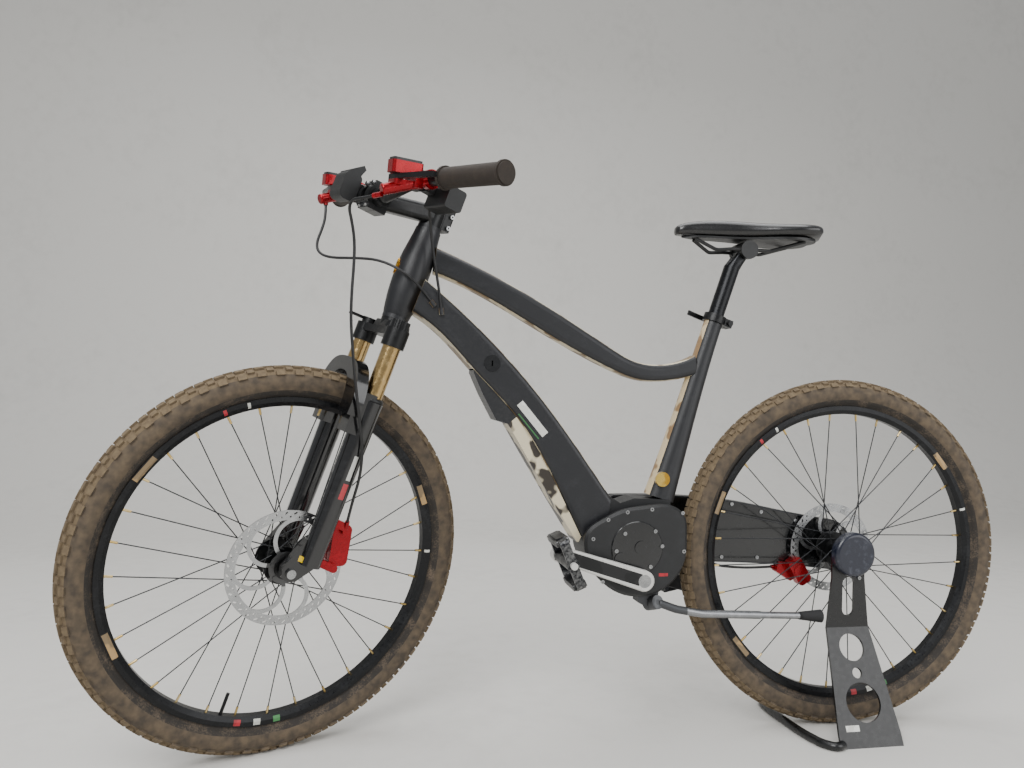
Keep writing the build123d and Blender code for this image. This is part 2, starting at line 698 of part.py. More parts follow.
# ---------------------------------------------------------------- rear brake
REAR_CALIPER_TURN = -32
LOWER_HOSE = [(268, -61, 320), (246, -59.5, 307), (206, -57, 302.5), (160, -55, 301), (122, -54, 303)]
caliper_out = math.radians(REAR_CALIPER_TURN)
REAR_CALIPER = Plane(
    origin=REAR_AXLE.origin,
    x_dir=(math.cos(caliper_out), 0, math.sin(caliper_out)),
    z_dir=(-math.sin(caliper_out), 0, math.cos(caliper_out)),
)
with BuildPart() as rear_caliper:
    with BuildSketch(side(REAR_CALIPER, -22)):
        with Locations((REAR_ROTOR / 2 - 2, 0)):
            RectangleRounded(30, 58, 9)
    extrude(amount=19)
    with BuildSketch(side(REAR_CALIPER, -20.5)):
        with Locations((REAR_ROTOR / 2 - 2, 0)):
            Circle(13)
    extrude(amount=2)
    with BuildSketch(side(REAR_AXLE, REAR_ROTOR_Y + 1.7)):
        Circle(REAR_ROTOR / 2 + 3)
    extrude(amount=3.4, mode=Mode.SUBTRACT)
    with BuildSketch(side(BIKE, ARM_INNER_Y + 4)):
        with BuildLine():
            Polyline((58, 312), (112, 316), (118, 296), (86, 276), (58, 290), close=True)
        make_face()
    extrude(amount=17)
    add(build_gland(LOWER_HOSE[-1], LOWER_HOSE[-2], 12))
    add(arm_form.part, mode=Mode.SUBTRACT)
save(rear_caliper.part, "rear_caliper")

# ---------------------------------------------------------------- cranks and pedals
LEFT_CRANK_OUT = 86
RIGHT_CRANK_OUT = -100
CRANK_THICK = 16
SPINDLE_RADIUS = 12
PEDAL_PIN_RADIUS = 6
PEDAL_PIN_LENGTH = 102


def crank_frame(turn):
    """Frame on the crank axle with x along an arm raised by turn degrees."""
    angle = math.radians(turn)
    return Plane(
        origin=CRANK.origin,
        x_dir=(math.cos(angle), 0, math.sin(angle)),
        z_dir=(-math.sin(angle), 0, math.cos(angle)),
    )


LEFT_ARM = crank_frame(CRANK_REST)
RIGHT_ARM = crank_frame(CRANK_REST + 180)

with BuildPart() as crank_axle:
    with BuildSketch(side(CRANK, LEFT_CRANK_OUT)):
        Circle(SPINDLE_RADIUS)
    extrude(amount=LEFT_CRANK_OUT - RIGHT_CRANK_OUT)
save(crank_axle.part, "crank_axle")

with BuildPart() as crank_arms:
    for arm, outer in ((LEFT_ARM, LEFT_CRANK_OUT), (RIGHT_ARM, RIGHT_CRANK_OUT + CRANK_THICK)):
        with BuildSketch(side(arm, outer)):
            Circle(19)
            with Locations((CRANK_LENGTH, 0)):
                Circle(14)
            make_hull()
        extrude(amount=CRANK_THICK)
    chamfer(crank_arms.edges().filter_by(lambda edge: edge.length > 30), 2)
    with BuildSketch(side(CRANK, LEFT_CRANK_OUT)):
        Circle(SPINDLE_RADIUS)
    extrude(amount=LEFT_CRANK_OUT - RIGHT_CRANK_OUT, mode=Mode.SUBTRACT)
    for arm, outer in ((LEFT_ARM, LEFT_CRANK_OUT + PEDAL_PIN_LENGTH), (RIGHT_ARM, RIGHT_CRANK_OUT)):
        with BuildSketch(side(arm, outer)):
            with Locations((CRANK_LENGTH, 0)):
                Circle(PEDAL_PIN_RADIUS)
        extrude(amount=PEDAL_PIN_LENGTH)
save(crank_arms.part, "crank_arms")

PEDAL_LENGTH = 96
PEDAL_WIDTH = 90


def build_pedal(arm, middle_y, turn):
    """Cage pedal with a barrel, toothed frame and a reflector in each end."""
    centre = arm.from_local_coords((CRANK_LENGTH, 0, 0))
    angle = math.radians(turn)
    pedal_frame = Plane(
        origin=(centre.X, middle_y, centre.Z),
        x_dir=(math.cos(angle), 0, math.sin(angle)),
        z_dir=(-math.sin(angle), 0, math.cos(angle)),
    )
    end = PEDAL_LENGTH / 2
    with BuildPart() as pedal:
        with BuildSketch(moved(pedal_frame, 0, 0, -8)):
            RectangleRounded(PEDAL_LENGTH - 6, PEDAL_WIDTH, 8)
            RectangleRounded(PEDAL_LENGTH - 26, PEDAL_WIDTH - 14, 6, mode=Mode.SUBTRACT)
        extrude(amount=16)
        with BuildSketch(moved(pedal_frame, 0, 0, -12)):
            with Locations((end - 8, 0), (8 - end, 0)):
                RectangleRounded(11, 66, 3)
        extrude(amount=24)
        with BuildSketch(side(pedal_frame, PEDAL_WIDTH / 2)):
            Circle(11)
        extrude(amount=PEDAL_WIDTH)
        with BuildSketch(side(pedal_frame, PEDAL_WIDTH / 2 + 1)):
            Circle(PEDAL_PIN_RADIUS + RUN)
        extrude(amount=PEDAL_WIDTH + 2, mode=Mode.SUBTRACT)
        with BuildSketch(facing(pedal_frame, end - 3), facing(pedal_frame, -end)):
            RectangleRounded(52, 16, 2)
        extrude(amount=3)
    return pedal.part


PEDAL_REST = 67
save(build_pedal(LEFT_ARM, LEFT_CRANK_OUT + 4 + PEDAL_WIDTH / 2, PEDAL_REST), "pedal_left")
save(build_pedal(RIGHT_ARM, RIGHT_CRANK_OUT - 4 - PEDAL_WIDTH / 2, -12), "pedal_right")

# ---------------------------------------------------------------- kickstand
KICK_PIVOT = (412, 46, 262)
KICK_AXIS = (0.313, -0.895, -0.315)
KICK_RADIUS = 13


def on_kick_axis(step):
    """Point a step along the kickstand's hinge axis."""
    return tuple(p + step * a for p, a in zip(KICK_PIVOT, KICK_AXIS))


kick_inner, pin_length = along(on_kick_axis(7), on_kick_axis(34))
kick_outer = along(on_kick_axis(-7), on_kick_axis(7))[0]
with BuildPart() as kickstand_bracket:
    with BuildSketch(side(BIKE, 42)):
        with BuildLine():
            Polyline((396, 305), (442, 300), (446, 262), (424, 250), (408, 256), (404, 286), close=True)
        make_face()
    extrude(amount=28)
    with BuildSketch(kick_outer.offset(-6)):
        Circle(KICK_RADIUS + 2)
    extrude(amount=20 + GAP, mode=Mode.SUBTRACT)
    with BuildSketch(kick_inner.offset(GAP)):
        Circle(KICK_RADIUS)
    extrude(amount=16)
    with BuildSketch(kick_outer):
        Circle(5)
    extrude(amount=20)
    add(housing_form.part, mode=Mode.SUBTRACT)
save(kickstand_bracket.part, "kickstand_bracket")

KICK_ROUTE = [(406, 46, 261), (372, 50, 249), (318, 50, 239), (200, 50, 233.5)]
KICK_FOOT_START = (118, 50, 230)
KICK_FOOT_END = (72, 50, 228)
with BuildPart() as kickstand_leg:
    with BuildLine() as kick_line:
        FilletPolyline(*KICK_ROUTE, radius=60)
    with BuildSketch(along(KICK_ROUTE[0], KICK_ROUTE[1])[0]):
        Circle(7.5)
    sweep()
    tube_plane, tube_length = along(KICK_ROUTE[-1], KICK_FOOT_START)
    with BuildSketch(tube_plane):
        Circle(6.5)
    extrude(amount=tube_length)
    foot_plane, foot_length = along(KICK_FOOT_START, KICK_FOOT_END)
    with BuildSketch(foot_plane):
        Circle(7.5)
    with BuildSketch(foot_plane.offset(foot_length)):
        Circle(12.5)
    loft()
    with BuildSketch(kick_outer):
        Circle(KICK_RADIUS)
    extrude(amount=14)
    with BuildSketch(kick_outer.offset(-1)):
        Circle(5 + RUN)
    extrude(amount=16, mode=Mode.SUBTRACT)
save(kickstand_leg.part, "kickstand_leg")

# ---------------------------------------------------------------- seat
COLLAR_HEIGHT = 15
EAR_X = -28
with BuildPart() as seat_collar:
    with BuildSketch(moved(SEAT, 0, 0, COLLAR_S)):
        Circle(22)
        with Locations((EAR_X + 4, 0)):
            Rectangle(20, 26)
        Circle(POST_DIA / 2 + RUN, mode=Mode.SUBTRACT)
        with Locations((EAR_X + 2, 0)):
            Rectangle(22, 2, mode=Mode.SUBTRACT)
    extrude(amount=COLLAR_HEIGHT)
    with BuildSketch(side(moved(SEAT, EAR_X, 0, COLLAR_S + 7.5), 18)):
        Circle(5)
    extrude(amount=5)
    with BuildSketch(side(moved(SEAT, EAR_X, 0, COLLAR_S + 7.5), 14)):
        Circle(2.5)
    extrude(amount=29)
save(seat_collar.part, "seat_collar")

with BuildPart() as seat_lever:
    with BuildSketch(moved(SEAT, EAR_X, -22, COLLAR_S + 2)):
        Circle(6)
    extrude(amount=11)
    with BuildSketch(moved(SEAT, EAR_X, -22, COLLAR_S + 3)):
        with BuildLine():
            Spline((0, -6), (34, -11), (74, -8))
            Line((74, -8), (74, -3))
            Spline((74, -3), (34, -6), (4, 0))
            Line((4, 0), (0, -6))
        make_face()
    extrude(amount=9)
save(seat_lever.part, "seat_lever")

SADDLE_X, SADDLE_Z = 226, 941
SADDLE = moved(BIKE, SADDLE_X, 0, SADDLE_Z)
CLAMP_RADIUS = 14
POST_BOTTOM = 400
with BuildPart() as seatpost:
    with BuildSketch(moved(SEAT, 0, 0, 628)):
        Circle(POST_DIA / 2)
    with BuildSketch(moved(SEAT, -9, 0, 660)):
        RectangleRounded(24, 32, 6)
    loft()
    with BuildSketch(moved(SEAT, 0, 0, POST_BOTTOM)):
        Circle(POST_DIA / 2)
    extrude(amount=628 - POST_BOTTOM)
    with BuildSketch(moved(SEAT, 0, 0, POST_BOTTOM - 1)):
        Circle(POST_DIA / 2 - 2.5)
    extrude(amount=220, mode=Mode.SUBTRACT)
    with BuildSketch(side(SADDLE, 17)):
        Circle(CLAMP_RADIUS)
    extrude(amount=34)
save(seatpost.part, "seatpost")

RAIL_ROUTE = [(104, 7, 18), (66, 18, -3), (34, 22, 0), (-46, 22, 0), (-112, 36, 20)]
with BuildPart() as saddle_base:
    for hand in (1, -1):
        points = [SADDLE.from_local_coords((x, hand * y, z)) for x, y, z in RAIL_ROUTE]
        with BuildLine():
            FilletPolyline(*points, radius=18)
        with BuildSketch(Plane(origin=points[0], z_dir=points[1] - points[0])):
            Circle(3.5)
        sweep()
    for edge_y in (27, -17 - GAP):
        with BuildSketch(side(SADDLE, edge_y)):
            Circle(CLAMP_RADIUS + 4)
        extrude(amount=10 - GAP)
    with BuildSketch(side(SADDLE, 27)):
        Circle(CLAMP_RADIUS + 4)
        Circle(CLAMP_RADIUS + GAP, mode=Mode.SUBTRACT)
        with Locations((0, -12)):
            Rectangle(60, 34, mode=Mode.SUBTRACT)
    extrude(amount=54)
    with BuildSketch(moved(SADDLE, 0, 0, 20)):
        with BuildLine():
            Spline((132, 0), (100, 14), (40, 20), (-30, 40), (-90, 58), (-132, 40), (-136, 0))
            Spline((-136, 0), (-132, -40), (-90, -58), (-30, -40), (40, -20), (100, -14), (132, 0))
        make_face()
    extrude(amount=4)
save(saddle_base.part, "saddle_base")

with BuildPart() as saddle_cushion:
    with BuildSketch(moved(SADDLE, 0, 0, 24)):
        with BuildLine():
            Spline((146, 0), (130, 17), (60, 23), (0, 36), (-80, 68), (-122, 70), (-144, 0))
            mirror(about=Plane.XZ)
        make_face()
    extrude(amount=40)
    with BuildSketch(side(SADDLE, 90)):
        with BuildLine():
            Spline((150, 38), (120, 53), (57, 59), (-19, 53), (-80, 53), (-150, 44))
            Polyline((-150, 44), (-150, 20), (150, 20), (150, 38))
        make_face()
    extrude(amount=180, mode=Mode.INTERSECT)
    chamfer(saddle_cushion.faces().sort_by(Axis.Z)[-1].edges(), 5)
save(saddle_cushion.part, "saddle_cushion")

# ---------------------------------------------------------------- fork
STANCHION_BOTTOM = 112
STANCHION_WALL = 2.5
LEGS = [(LEG_X, LEG_SPACING / 2), (LEG_X, -LEG_SPACING / 2)]
with BuildPart() as fork_crown:
    with BuildSketch(moved(FORK, 0, 0, CROWN_BOTTOM)):
        with Locations(*LEGS):
            Circle(21)
    extrude(amount=CROWN_TOP - CROWN_BOTTOM)
    with BuildSketch(moved(FORK, 0, 0, 438)):
        with BuildLine():
            Spline((-6, 52), (-24, 24), (-27, 0), (-24, -24), (-6, -52))
            Line((-6, -52), (32, -56))
            Spline((32, -56), (27, -24), (26, 0), (27, 24), (32, 56))
            Line((32, 56), (-6, 52))
        make_face()
    extrude(amount=CROWN_TOP - 438)
    with BuildSketch(moved(FORK, 0, 0, CROWN_TOP)):
        RectangleRounded(50, 84, 20)
    extrude(amount=13, taper=12)
    with BuildSketch(moved(FORK, 0, 0, 438)):
        Circle(24)
    extrude(amount=HEAD_BOTTOM - 8 - GAP - 438)
    with BuildSketch(moved(FORK, 0, 0, CROWN_BOTTOM - 1)):
        with Locations(*LEGS):
            Circle(STANCHION_DIA / 2)
    extrude(amount=CROWN_TOP - CROWN_BOTTOM + 20, mode=Mode.SUBTRACT)
    with BuildSketch(moved(FORK, 0, 0, 438)):
        Circle(STEERER_DIA / 2)
    extrude(amount=STEM_TOP - 438)
save(fork_crown.part, "fork_crown")

with BuildPart() as stanchions:
    with BuildSketch(moved(FORK, 0, 0, STANCHION_BOTTOM)):
        with Locations(*LEGS):
            Circle(STANCHION_DIA / 2)
            Circle(STANCHION_DIA / 2 - STANCHION_WALL, mode=Mode.SUBTRACT)
    extrude(amount=CROWN_TOP - 2 - STANCHION_BOTTOM)
    with BuildSketch(moved(FORK, 0, 0, CROWN_TOP - 8)):
        with Locations(*LEGS):
            Circle(STANCHION_DIA / 2)
    extrude(amount=6)
save(stanchions.part, "stanchions")

KNOB_Z = CROWN_TOP + GAP
with BuildPart() as preload_knob:
    with BuildSketch(moved(FORK, LEG_X, LEG_SPACING / 2, KNOB_Z)):
        Circle(17)
        with PolarLocations(18, 12):
            Circle(3, mode=Mode.SUBTRACT)
    extrude(amount=16)
    fillet(preload_knob.faces().sort_by(Axis(FORK.origin, FORK.z_dir))[-1].edges(), 1)
save(preload_knob.part, "preload_knob")

with BuildPart() as lockout_lever:
    with BuildSketch(moved(FORK, LEG_X, -LEG_SPACING / 2, KNOB_Z)):
        Circle(15)
    extrude(amount=11)
    with BuildSketch(moved(FORK, LEG_X, -LEG_SPACING / 2, KNOB_Z + 5)):
        with Locations((22, 0)):
            RectangleRounded(44, 12, 3)
    extrude(amount=5)
save(lockout_lever.part, "lockout_lever")

LOWER_BORE = STANCHION_DIA / 2 + RUN
DROPOUT_OUT = 66
DROPOUT_IN = 50
ARCH_X = LEG_X + 22            # the arch passes in front of the crown at full travel
with BuildPart() as fork_lowers:
    for hand in (1, -1):
        with BuildSketch(moved(FORK, LEG_X, hand * LEG_SPACING / 2, 20)):
            Circle(19)
        with BuildSketch(moved(FORK, LEG_X, hand * LEG_SPACING / 2, LOWERS_TOP)):
            Circle(22)
        loft()
        with BuildSketch(side(FORK, DROPOUT_OUT if hand > 0 else -DROPOUT_IN)):
            with BuildLine():
                Polyline(
                    (-2, 62), (36, 62), (60, 6), (56, -10), (43, -15), (30, -12), (2, 20), close=True
                )
            make_face()
        extrude(amount=DROPOUT_OUT - DROPOUT_IN)
        with BuildSketch(moved(FORK, 0, 0, 255)):
            with BuildLine():
                Polyline(
                    (16, hand * 46), (50, hand * 44), (50, hand * 80), (16, hand * 84), close=True
                )
            make_face()
        extrude(amount=75)
    with BuildSketch(facing(FORK, ARCH_X)):
        with BuildLine():
            Spline((87, 285), (82, 335), (55, 370), (0, 380), (-55, 370), (-82, 335), (-87, 285))
            Line((-87, 285), (-45, 285))
            Spline((-45, 285), (-41, 325), (-24, 350), (0, 355), (24, 350), (41, 325), (45, 285))
            Line((45, 285), (87, 285))
        make_face()
    extrude(amount=22)
    with BuildSketch(moved(FORK, 0, 0, 30)):
        with Locations(*LEGS):
            Circle(LOWER_BORE)
    extrude(amount=400, mode=Mode.SUBTRACT)
    with BuildSketch(side(FRONT_AXLE, 100)):
        Circle(AXLE_RADIUS)
    extrude(amount=200, mode=Mode.SUBTRACT)
save(fork_lowers.part, "fork_lowers")

with BuildPart() as front_axle:
    with BuildSketch(side(FRONT_AXLE, DROPOUT_OUT + 4)):
        Circle(AXLE_RADIUS)
    extrude(amount=2 * DROPOUT_OUT + 8)
    with BuildSketch(side(FRONT_AXLE, DROPOUT_OUT + 6)):
        Circle(8)
    extrude(amount=6)
    with BuildSketch(side(FRONT_AXLE, -DROPOUT_OUT)):
        Circle(8)
    extrude(amount=6)
save(front_axle.part, "front_axle")

FRONT_HOSE_FOOT = [(-24, 62, 108), (-13, 75, 144)]
CALIPER_IN, CALIPER_OUT = 21.5, 50
with BuildPart() as front_caliper:
    with BuildSketch(side(FORK, CALIPER_OUT)):
        with Locations((-34, 62)):
            RectangleRounded(34, 74, 10, rotation=-12)
    extrude(amount=CALIPER_OUT - CALIPER_IN)
    with BuildSketch(side(FORK, 60)):
        with Locations((-16, 98), (-20, 24)):
            SlotOverall(40, 14, rotation=10)
    extrude(amount=12)
    with BuildSketch(side(FRONT_AXLE, FRONT_ROTOR_Y + 2.6)):
        Circle(FRONT_ROTOR / 2 + 3)
    extrude(amount=4.3, mode=Mode.SUBTRACT)
    with BuildSketch(side(FORK, CALIPER_IN - 1)):
        with Locations((-34, 62)):
            Circle(12)
    extrude(amount=-4)
    with BuildSketch(side(FORK, 60)):
        with Locations((-31, 88)):
            Circle(7)
    extrude(amount=12)
    hose_end, hose_before = (FORK.from_local_coords(point) for point in FRONT_HOSE_FOOT)
    add(build_gland(hose_end, hose_before, 20))
    add(fork_lowers.part, mode=Mode.SUBTRACT)
    with BuildSketch(moved(FORK, LEG_X, LEG_SPACING / 2, 0)):
        Circle(LOWER_BORE + 1)
    extrude(amount=LOWERS_TOP, mode=Mode.SUBTRACT)
save(front_caliper.part, "front_caliper")

# ---------------------------------------------------------------- stem and bar
EXTENSION_START = (17, 0, 676)
EXTENSION_END = (100, 0, BAR_Z)
with BuildPart() as stem:
    with BuildSketch(moved(FORK, 0, 0, HEAD_TOP + 8 + GAP)):
        Circle(20)
    extrude(amount=STEM_TOP - HEAD_TOP - 8 - GAP)
    with BuildSketch(moved(FORK, 0, 0, HEAD_TOP + 9)):
        with Locations((-22, 0)):
            RectangleRounded(22, 34, 4)
    extrude(amount=STEM_TOP - HEAD_TOP - 12)
    with BuildSketch(facing(FORK, 8)):
        with Locations((0, 677)):
            RectangleRounded(38, 34, 10)
    with BuildSketch(facing(FORK, 100)):
        with Locations((0, BAR_Z)):
            RectangleRounded(40, 32, 10)
    loft()
    with BuildSketch(side(FORK, 22)):
        with Locations((BAR_X, BAR_Z)):
            Circle(23)
    extrude(amount=44)
    with BuildSketch(side(FORK, 22)):
        with Locations((108, BAR_Z)):
            Rectangle(20, 50)
    extrude(amount=44)
    with BuildSketch(facing(FORK, BAR_X + 0.5)):
        Rectangle(60, 2000)
    extrude(amount=60, mode=Mode.SUBTRACT)
    with BuildSketch(side(FORK, 40)):
        with Locations((BAR_X, BAR_Z)):
            Circle(BAR_CLAMP_DIA / 2)
    extrude(amount=80, mode=Mode.SUBTRACT)
    with BuildSketch(moved(FORK, 0, 0, HEAD_TOP)):
        Circle(STEERER_DIA / 2)
    extrude(amount=100, mode=Mode.SUBTRACT)
    with BuildSketch(moved(FORK, 0, 0, HEAD_TOP)):
        with Locations((-24, 0)):
            Rectangle(24, 2)
    extrude(amount=100, mode=Mode.SUBTRACT)
save(stem.part, "stem")

with BuildPart() as stem_faceplate:
    with BuildSketch(side(FORK, 22)):
        with Locations((BAR_X, BAR_Z)):
            Circle(23)
        with Locations((BAR_X + 6, BAR_Z)):
            Rectangle(18, 50)
    extrude(amount=44)
    with BuildSketch(side(FORK, 23)):
        with Locations((BAR_X, BAR_Z)):
            Circle(BAR_CLAMP_DIA / 2)
        with Locations((BAR_X - 29, BAR_Z)):
            Rectangle(60, 60)
    extrude(amount=46, mode=Mode.SUBTRACT)
    with BuildSketch(facing(FORK, BAR_X)):
        with Locations((0, BAR_Z)):
            RectangleRounded(16, 26, 4)
    extrude(amount=60, mode=Mode.SUBTRACT)
save(stem_faceplate.part, "stem_faceplate")

FACE_BOLTS = [(y, BAR_Z + z) for y in (13.5, -13.5) for z in (20, -20)]
with BuildPart() as stem_bolts:
    with BuildSketch(facing(FORK, BAR_X + 15)):
        with Locations(*FACE_BOLTS):
            Circle(4)
            Circle(2, mode=Mode.SUBTRACT)
    extrude(amount=5)
    with BuildSketch(facing(FORK, BAR_X + 15.6)):
        with Locations(*FACE_BOLTS):
            Circle(2.5)
    extrude(amount=-22)
    for bolt_z in (686, 664):
        with BuildSketch(side(FORK, 22)):
            with Locations((-26, bolt_z)):
                Circle(4)
                RegularPolygon(2, 6, mode=Mode.SUBTRACT)
        extrude(amount=5)
        with BuildSketch(side(FORK, 17.5)):
            with Locations((-26, bolt_z)):
                Circle(2.5)
        extrude(amount=30)
    with BuildSketch(moved(FORK, 0, 0, STEM_TOP)):
        Circle(18)
        Circle(4, mode=Mode.SUBTRACT)
    extrude(amount=3)
save(stem_bolts.part, "stem_bolts")

BAR_HALF_ROUTE = [(118, 46, 656), (104, 114, 686), (93, 170, 691.4), (68, BAR_WIDTH / 2, 700.6)]
GRIP_START = 1 - GRIP_LENGTH / 161
with BuildPart() as handlebar:
    with BuildSketch(side(FORK, 40)):
        with Locations((BAR_X, BAR_Z)):
            Circle(BAR_CLAMP_DIA / 2)
    extrude(amount=80)
    for hand in (1, -1):
        points = [FORK.from_local_coords((x, hand * y, z)) for x, y, z in BAR_HALF_ROUTE]
        shoulder = FORK.from_local_coords((BAR_X, hand * 39, BAR_Z))
        with BuildLine():
            FilletPolyline(shoulder, *points, radius=[14, 40, 40])
        with BuildSketch(Plane(origin=shoulder, z_dir=hand * FORK.y_dir)):
            Circle(BAR_DIA / 2)
        sweep()
save(handlebar.part, "handlebar")

with BuildPart() as grips:
    for hand in (1, -1):
        x0, y0, z0 = BAR_HALF_ROUTE[2]
        x1, y1, z1 = BAR_HALF_ROUTE[3]
        inner = (x0 + (x1 - x0) * GRIP_START, hand * (y0 + (y1 - y0) * GRIP_START), z0 + (z1 - z0) * GRIP_START)
        grip_plane, grip_length = along(inner, (x1, hand * y1, z1), FORK)
        with BuildSketch(grip_plane):
            Circle(GRIP_DIA / 2)
            Circle(BAR_DIA / 2, mode=Mode.SUBTRACT)
        extrude(amount=grip_length)
        with BuildSketch(grip_plane.offset(grip_length)):
            Circle(GRIP_DIA / 2)
        extrude(amount=4)
        with BuildSketch(grip_plane, grip_plane.offset(grip_length - 4)):
            Circle(GRIP_DIA / 2 + 2.5)
            Circle(BAR_DIA / 2, mode=Mode.SUBTRACT)
        extrude(amount=5)
save(grips.part, "grips")

# ---------------------------------------------------------------- brake levers
MIDDLE = Plane(origin=FORK.origin, x_dir=FORK.x_dir, z_dir=FORK.y_dir)
MASTER = Plane(
    origin=FORK.from_local_coords((97, 150, 689.5)),
    x_dir=Vector(FORK.x_dir) * 0.957 - Vector(FORK.z_dir) * 0.29,
    z_dir=Vector(FORK.x_dir) * 0.29 + Vector(FORK.z_dir) * 0.957,
)
LEVER_AT = (56, -22)
LEVER_LOW = -8
LEVER_THICK = 8
FRONT_HOSE_LOCAL = [
    (169, 129, 627), (178, 108, 620), (184, 86, 616), (179, 69, 605), (164, 64, 588), (148, 66, 560),
    (136, 71, 522), (124, 76, 476), (109, 81, 430), (88, 88, 382), (64, 94, 330), (37, 96, 280),
    (11, 93, 234), (-4, 88, 190), *reversed(FRONT_HOSE_FOOT),
]
FRONT_HOSE = [FORK.from_local_coords(point) for point in FRONT_HOSE_LOCAL]
REAR_HOSE = [
    (1040, -70.5, 993), (1039.5, -68, 971), (1045, -60, 946), (1054, -50, 919), (1051, -42, 899),
    (1030, -29, 888), (985, -2, 886), (945, 22, 882), (910, 40, 867), BRAKE_PORT_NEXT, BRAKE_PORT,
]


with BuildPart() as left_master:
    body_plane, body_length = along((2, 0, -2), (80, -8, -29), MASTER)
    with BuildSketch(body_plane):
        Circle(9.5)
    extrude(amount=body_length)
    fillet(left_master.faces().sort_by(Axis(MASTER.origin, MASTER.x_dir))[-1].edges(), 3)
    with BuildSketch(side(MASTER, 7)):
        Circle(BAR_DIA / 2 + 5)
        with Locations((-15, 0)):
            RectangleRounded(12, 16, 2)
    extrude(amount=14)
    with BuildSketch(moved(MASTER, 0, 0, LEVER_LOW - GAP - 9)):
        with Locations((46, -12)):
            RectangleRounded(34, 34, 7)
    extrude(amount=9)
    with BuildSketch(moved(MASTER, 0, 0, -18)):
        with Locations((24, -2)):
            RectangleRounded(18, 22, 4)
    extrude(amount=22)
    with BuildSketch(moved(MASTER, 0, 0, LEVER_LOW + LEVER_THICK + GAP)):
        with Locations((45, -1)):
            RectangleRounded(54, 26, 5)
    extrude(amount=20)
    with BuildSketch(moved(MASTER, 0, 0, 20)):
        with Locations((45, -1)):
            RectangleRounded(50, 22, 4)
    extrude(amount=4)
    with BuildSketch(moved(MASTER, 0, 0, LEVER_LOW - 9)):
        with Locations(LEVER_AT):
            Circle(3)
    extrude(amount=LEVER_THICK + 9 + GAP)
    with BuildSketch(moved(MASTER, 0, 0, LEVER_LOW + LEVER_THICK + GAP)):
        with Locations(LEVER_AT):
            Circle(5)
    extrude(amount=3)
    with BuildSketch(moved(MASTER, 0, 0, LEVER_LOW - GAP)):
        with Locations((80, 26)):
            Circle(32)
        with Locations((40, -6)):
            Rectangle(20, 60)
    extrude(amount=LEVER_THICK + 2 * GAP, mode=Mode.SUBTRACT)
    add(handlebar.part, mode=Mode.SUBTRACT)

with BuildPart() as brake_masters:
    add(left_master.part)
    mirror(about=MIDDLE)
    add(build_gland(FRONT_HOSE[0], FRONT_HOSE[1], 17))
    add(build_gland(REAR_HOSE[0], REAR_HOSE[1], 12))
save(brake_masters.part, "brake_masters")

with BuildPart() as brake_lever_left:
    with BuildSketch(moved(MASTER, 0, 0, LEVER_LOW)):
        with Locations(LEVER_AT):
            Circle(7)
        with BuildLine():
            Spline((62, -25), (60, 5), (52, 40), (46, 70), (41, 90))
            Line((41, 90), (33, 88))
            Spline((33, 88), (38, 60), (44, 30), (50, 0), (50, -20))
            Line((50, -20), (62, -25))
        make_face()
        with Locations(LEVER_AT):
            Circle(3 + RUN, mode=Mode.SUBTRACT)
    extrude(amount=LEVER_THICK)
save(brake_lever_left.part, "brake_lever_left")

with BuildPart() as brake_lever_right:
    mirror(brake_lever_left.part, about=MIDDLE)
save(brake_lever_right.part, "brake_lever_right")

# ---------------------------------------------------------------- display and control unit
with BuildPart() as display:
    with BuildSketch(side(FORK, -26)):
        with Locations((157, 662)):
            RectangleRounded(32, 52, 12)
    extrude(amount=54)
    fillet(display.faces().filter_by(GeomType.PLANE).sort_by(spin_axis(FORK))[0].edges(), 6)
    with BuildSketch(side(FORK, -28)):
        with Locations((BAR_X, BAR_Z)):
            Circle(BAR_CLAMP_DIA / 2 + 5)
        with Locations((BAR_X + 20, BAR_Z + 6)):
            Rectangle(22, 22)
        with Locations((BAR_X, BAR_Z)):
            Circle(BAR_CLAMP_DIA / 2, mode=Mode.SUBTRACT)
    extrude(amount=11)
    with BuildSketch(side(FORK, -28)):
        with BuildLine():
            Polyline((146, 684), (140, 700), (146, 706), (166, 690), (166, 682), close=True)
        make_face()
    extrude(amount=52)
save(display.part, "display")

UNIT_Y = 122
BUTTON_AT = (UNIT_Y - 2, 690)
DISPLAY_CABLE = [
    FORK.from_local_coords((70, 100, 684)), (860, 85, 969), (854, 57, 943), (848, 44, 905),
    (840, 40.5, 862), CABLE_PORT_NEXT, CABLE_PORT,
]
BAR_AT_UNIT = (102.2, 686.5)
with BuildPart() as control_box:
    with BuildSketch(side(FORK, UNIT_Y + 10)):
        with Locations(BAR_AT_UNIT):
            Circle(17)
        with Locations((112, 690)):
            RectangleRounded(20, 20, 3)
        with Locations((77, 683)):
            Rectangle(36, 16)
    extrude(amount=22)
    with BuildSketch(side(FORK, 182)):
        with Locations((57, 672)):
            RectangleRounded(32, 36, 5)
    extrude(amount=74)
    with BuildSketch(facing(FORK, 122 - 5)):
        with Locations(BUTTON_AT):
            Circle(6 + RUN)
    extrude(amount=10, mode=Mode.SUBTRACT)
    add(handlebar.part, mode=Mode.SUBTRACT)
    add(build_gland(DISPLAY_CABLE[0], DISPLAY_CABLE[1], 14))
save(control_box.part, "control_box")

with BuildPart() as control_button:
    with BuildSketch(facing(FORK, 122 - 3.5)):
        with Locations(BUTTON_AT):
            Circle(6)
    extrude(amount=7)
    chamfer(control_button.faces().sort_by(Axis(FORK.origin, FORK.x_dir))[-1].edges(), 1)
save(control_button.part, "control_button")

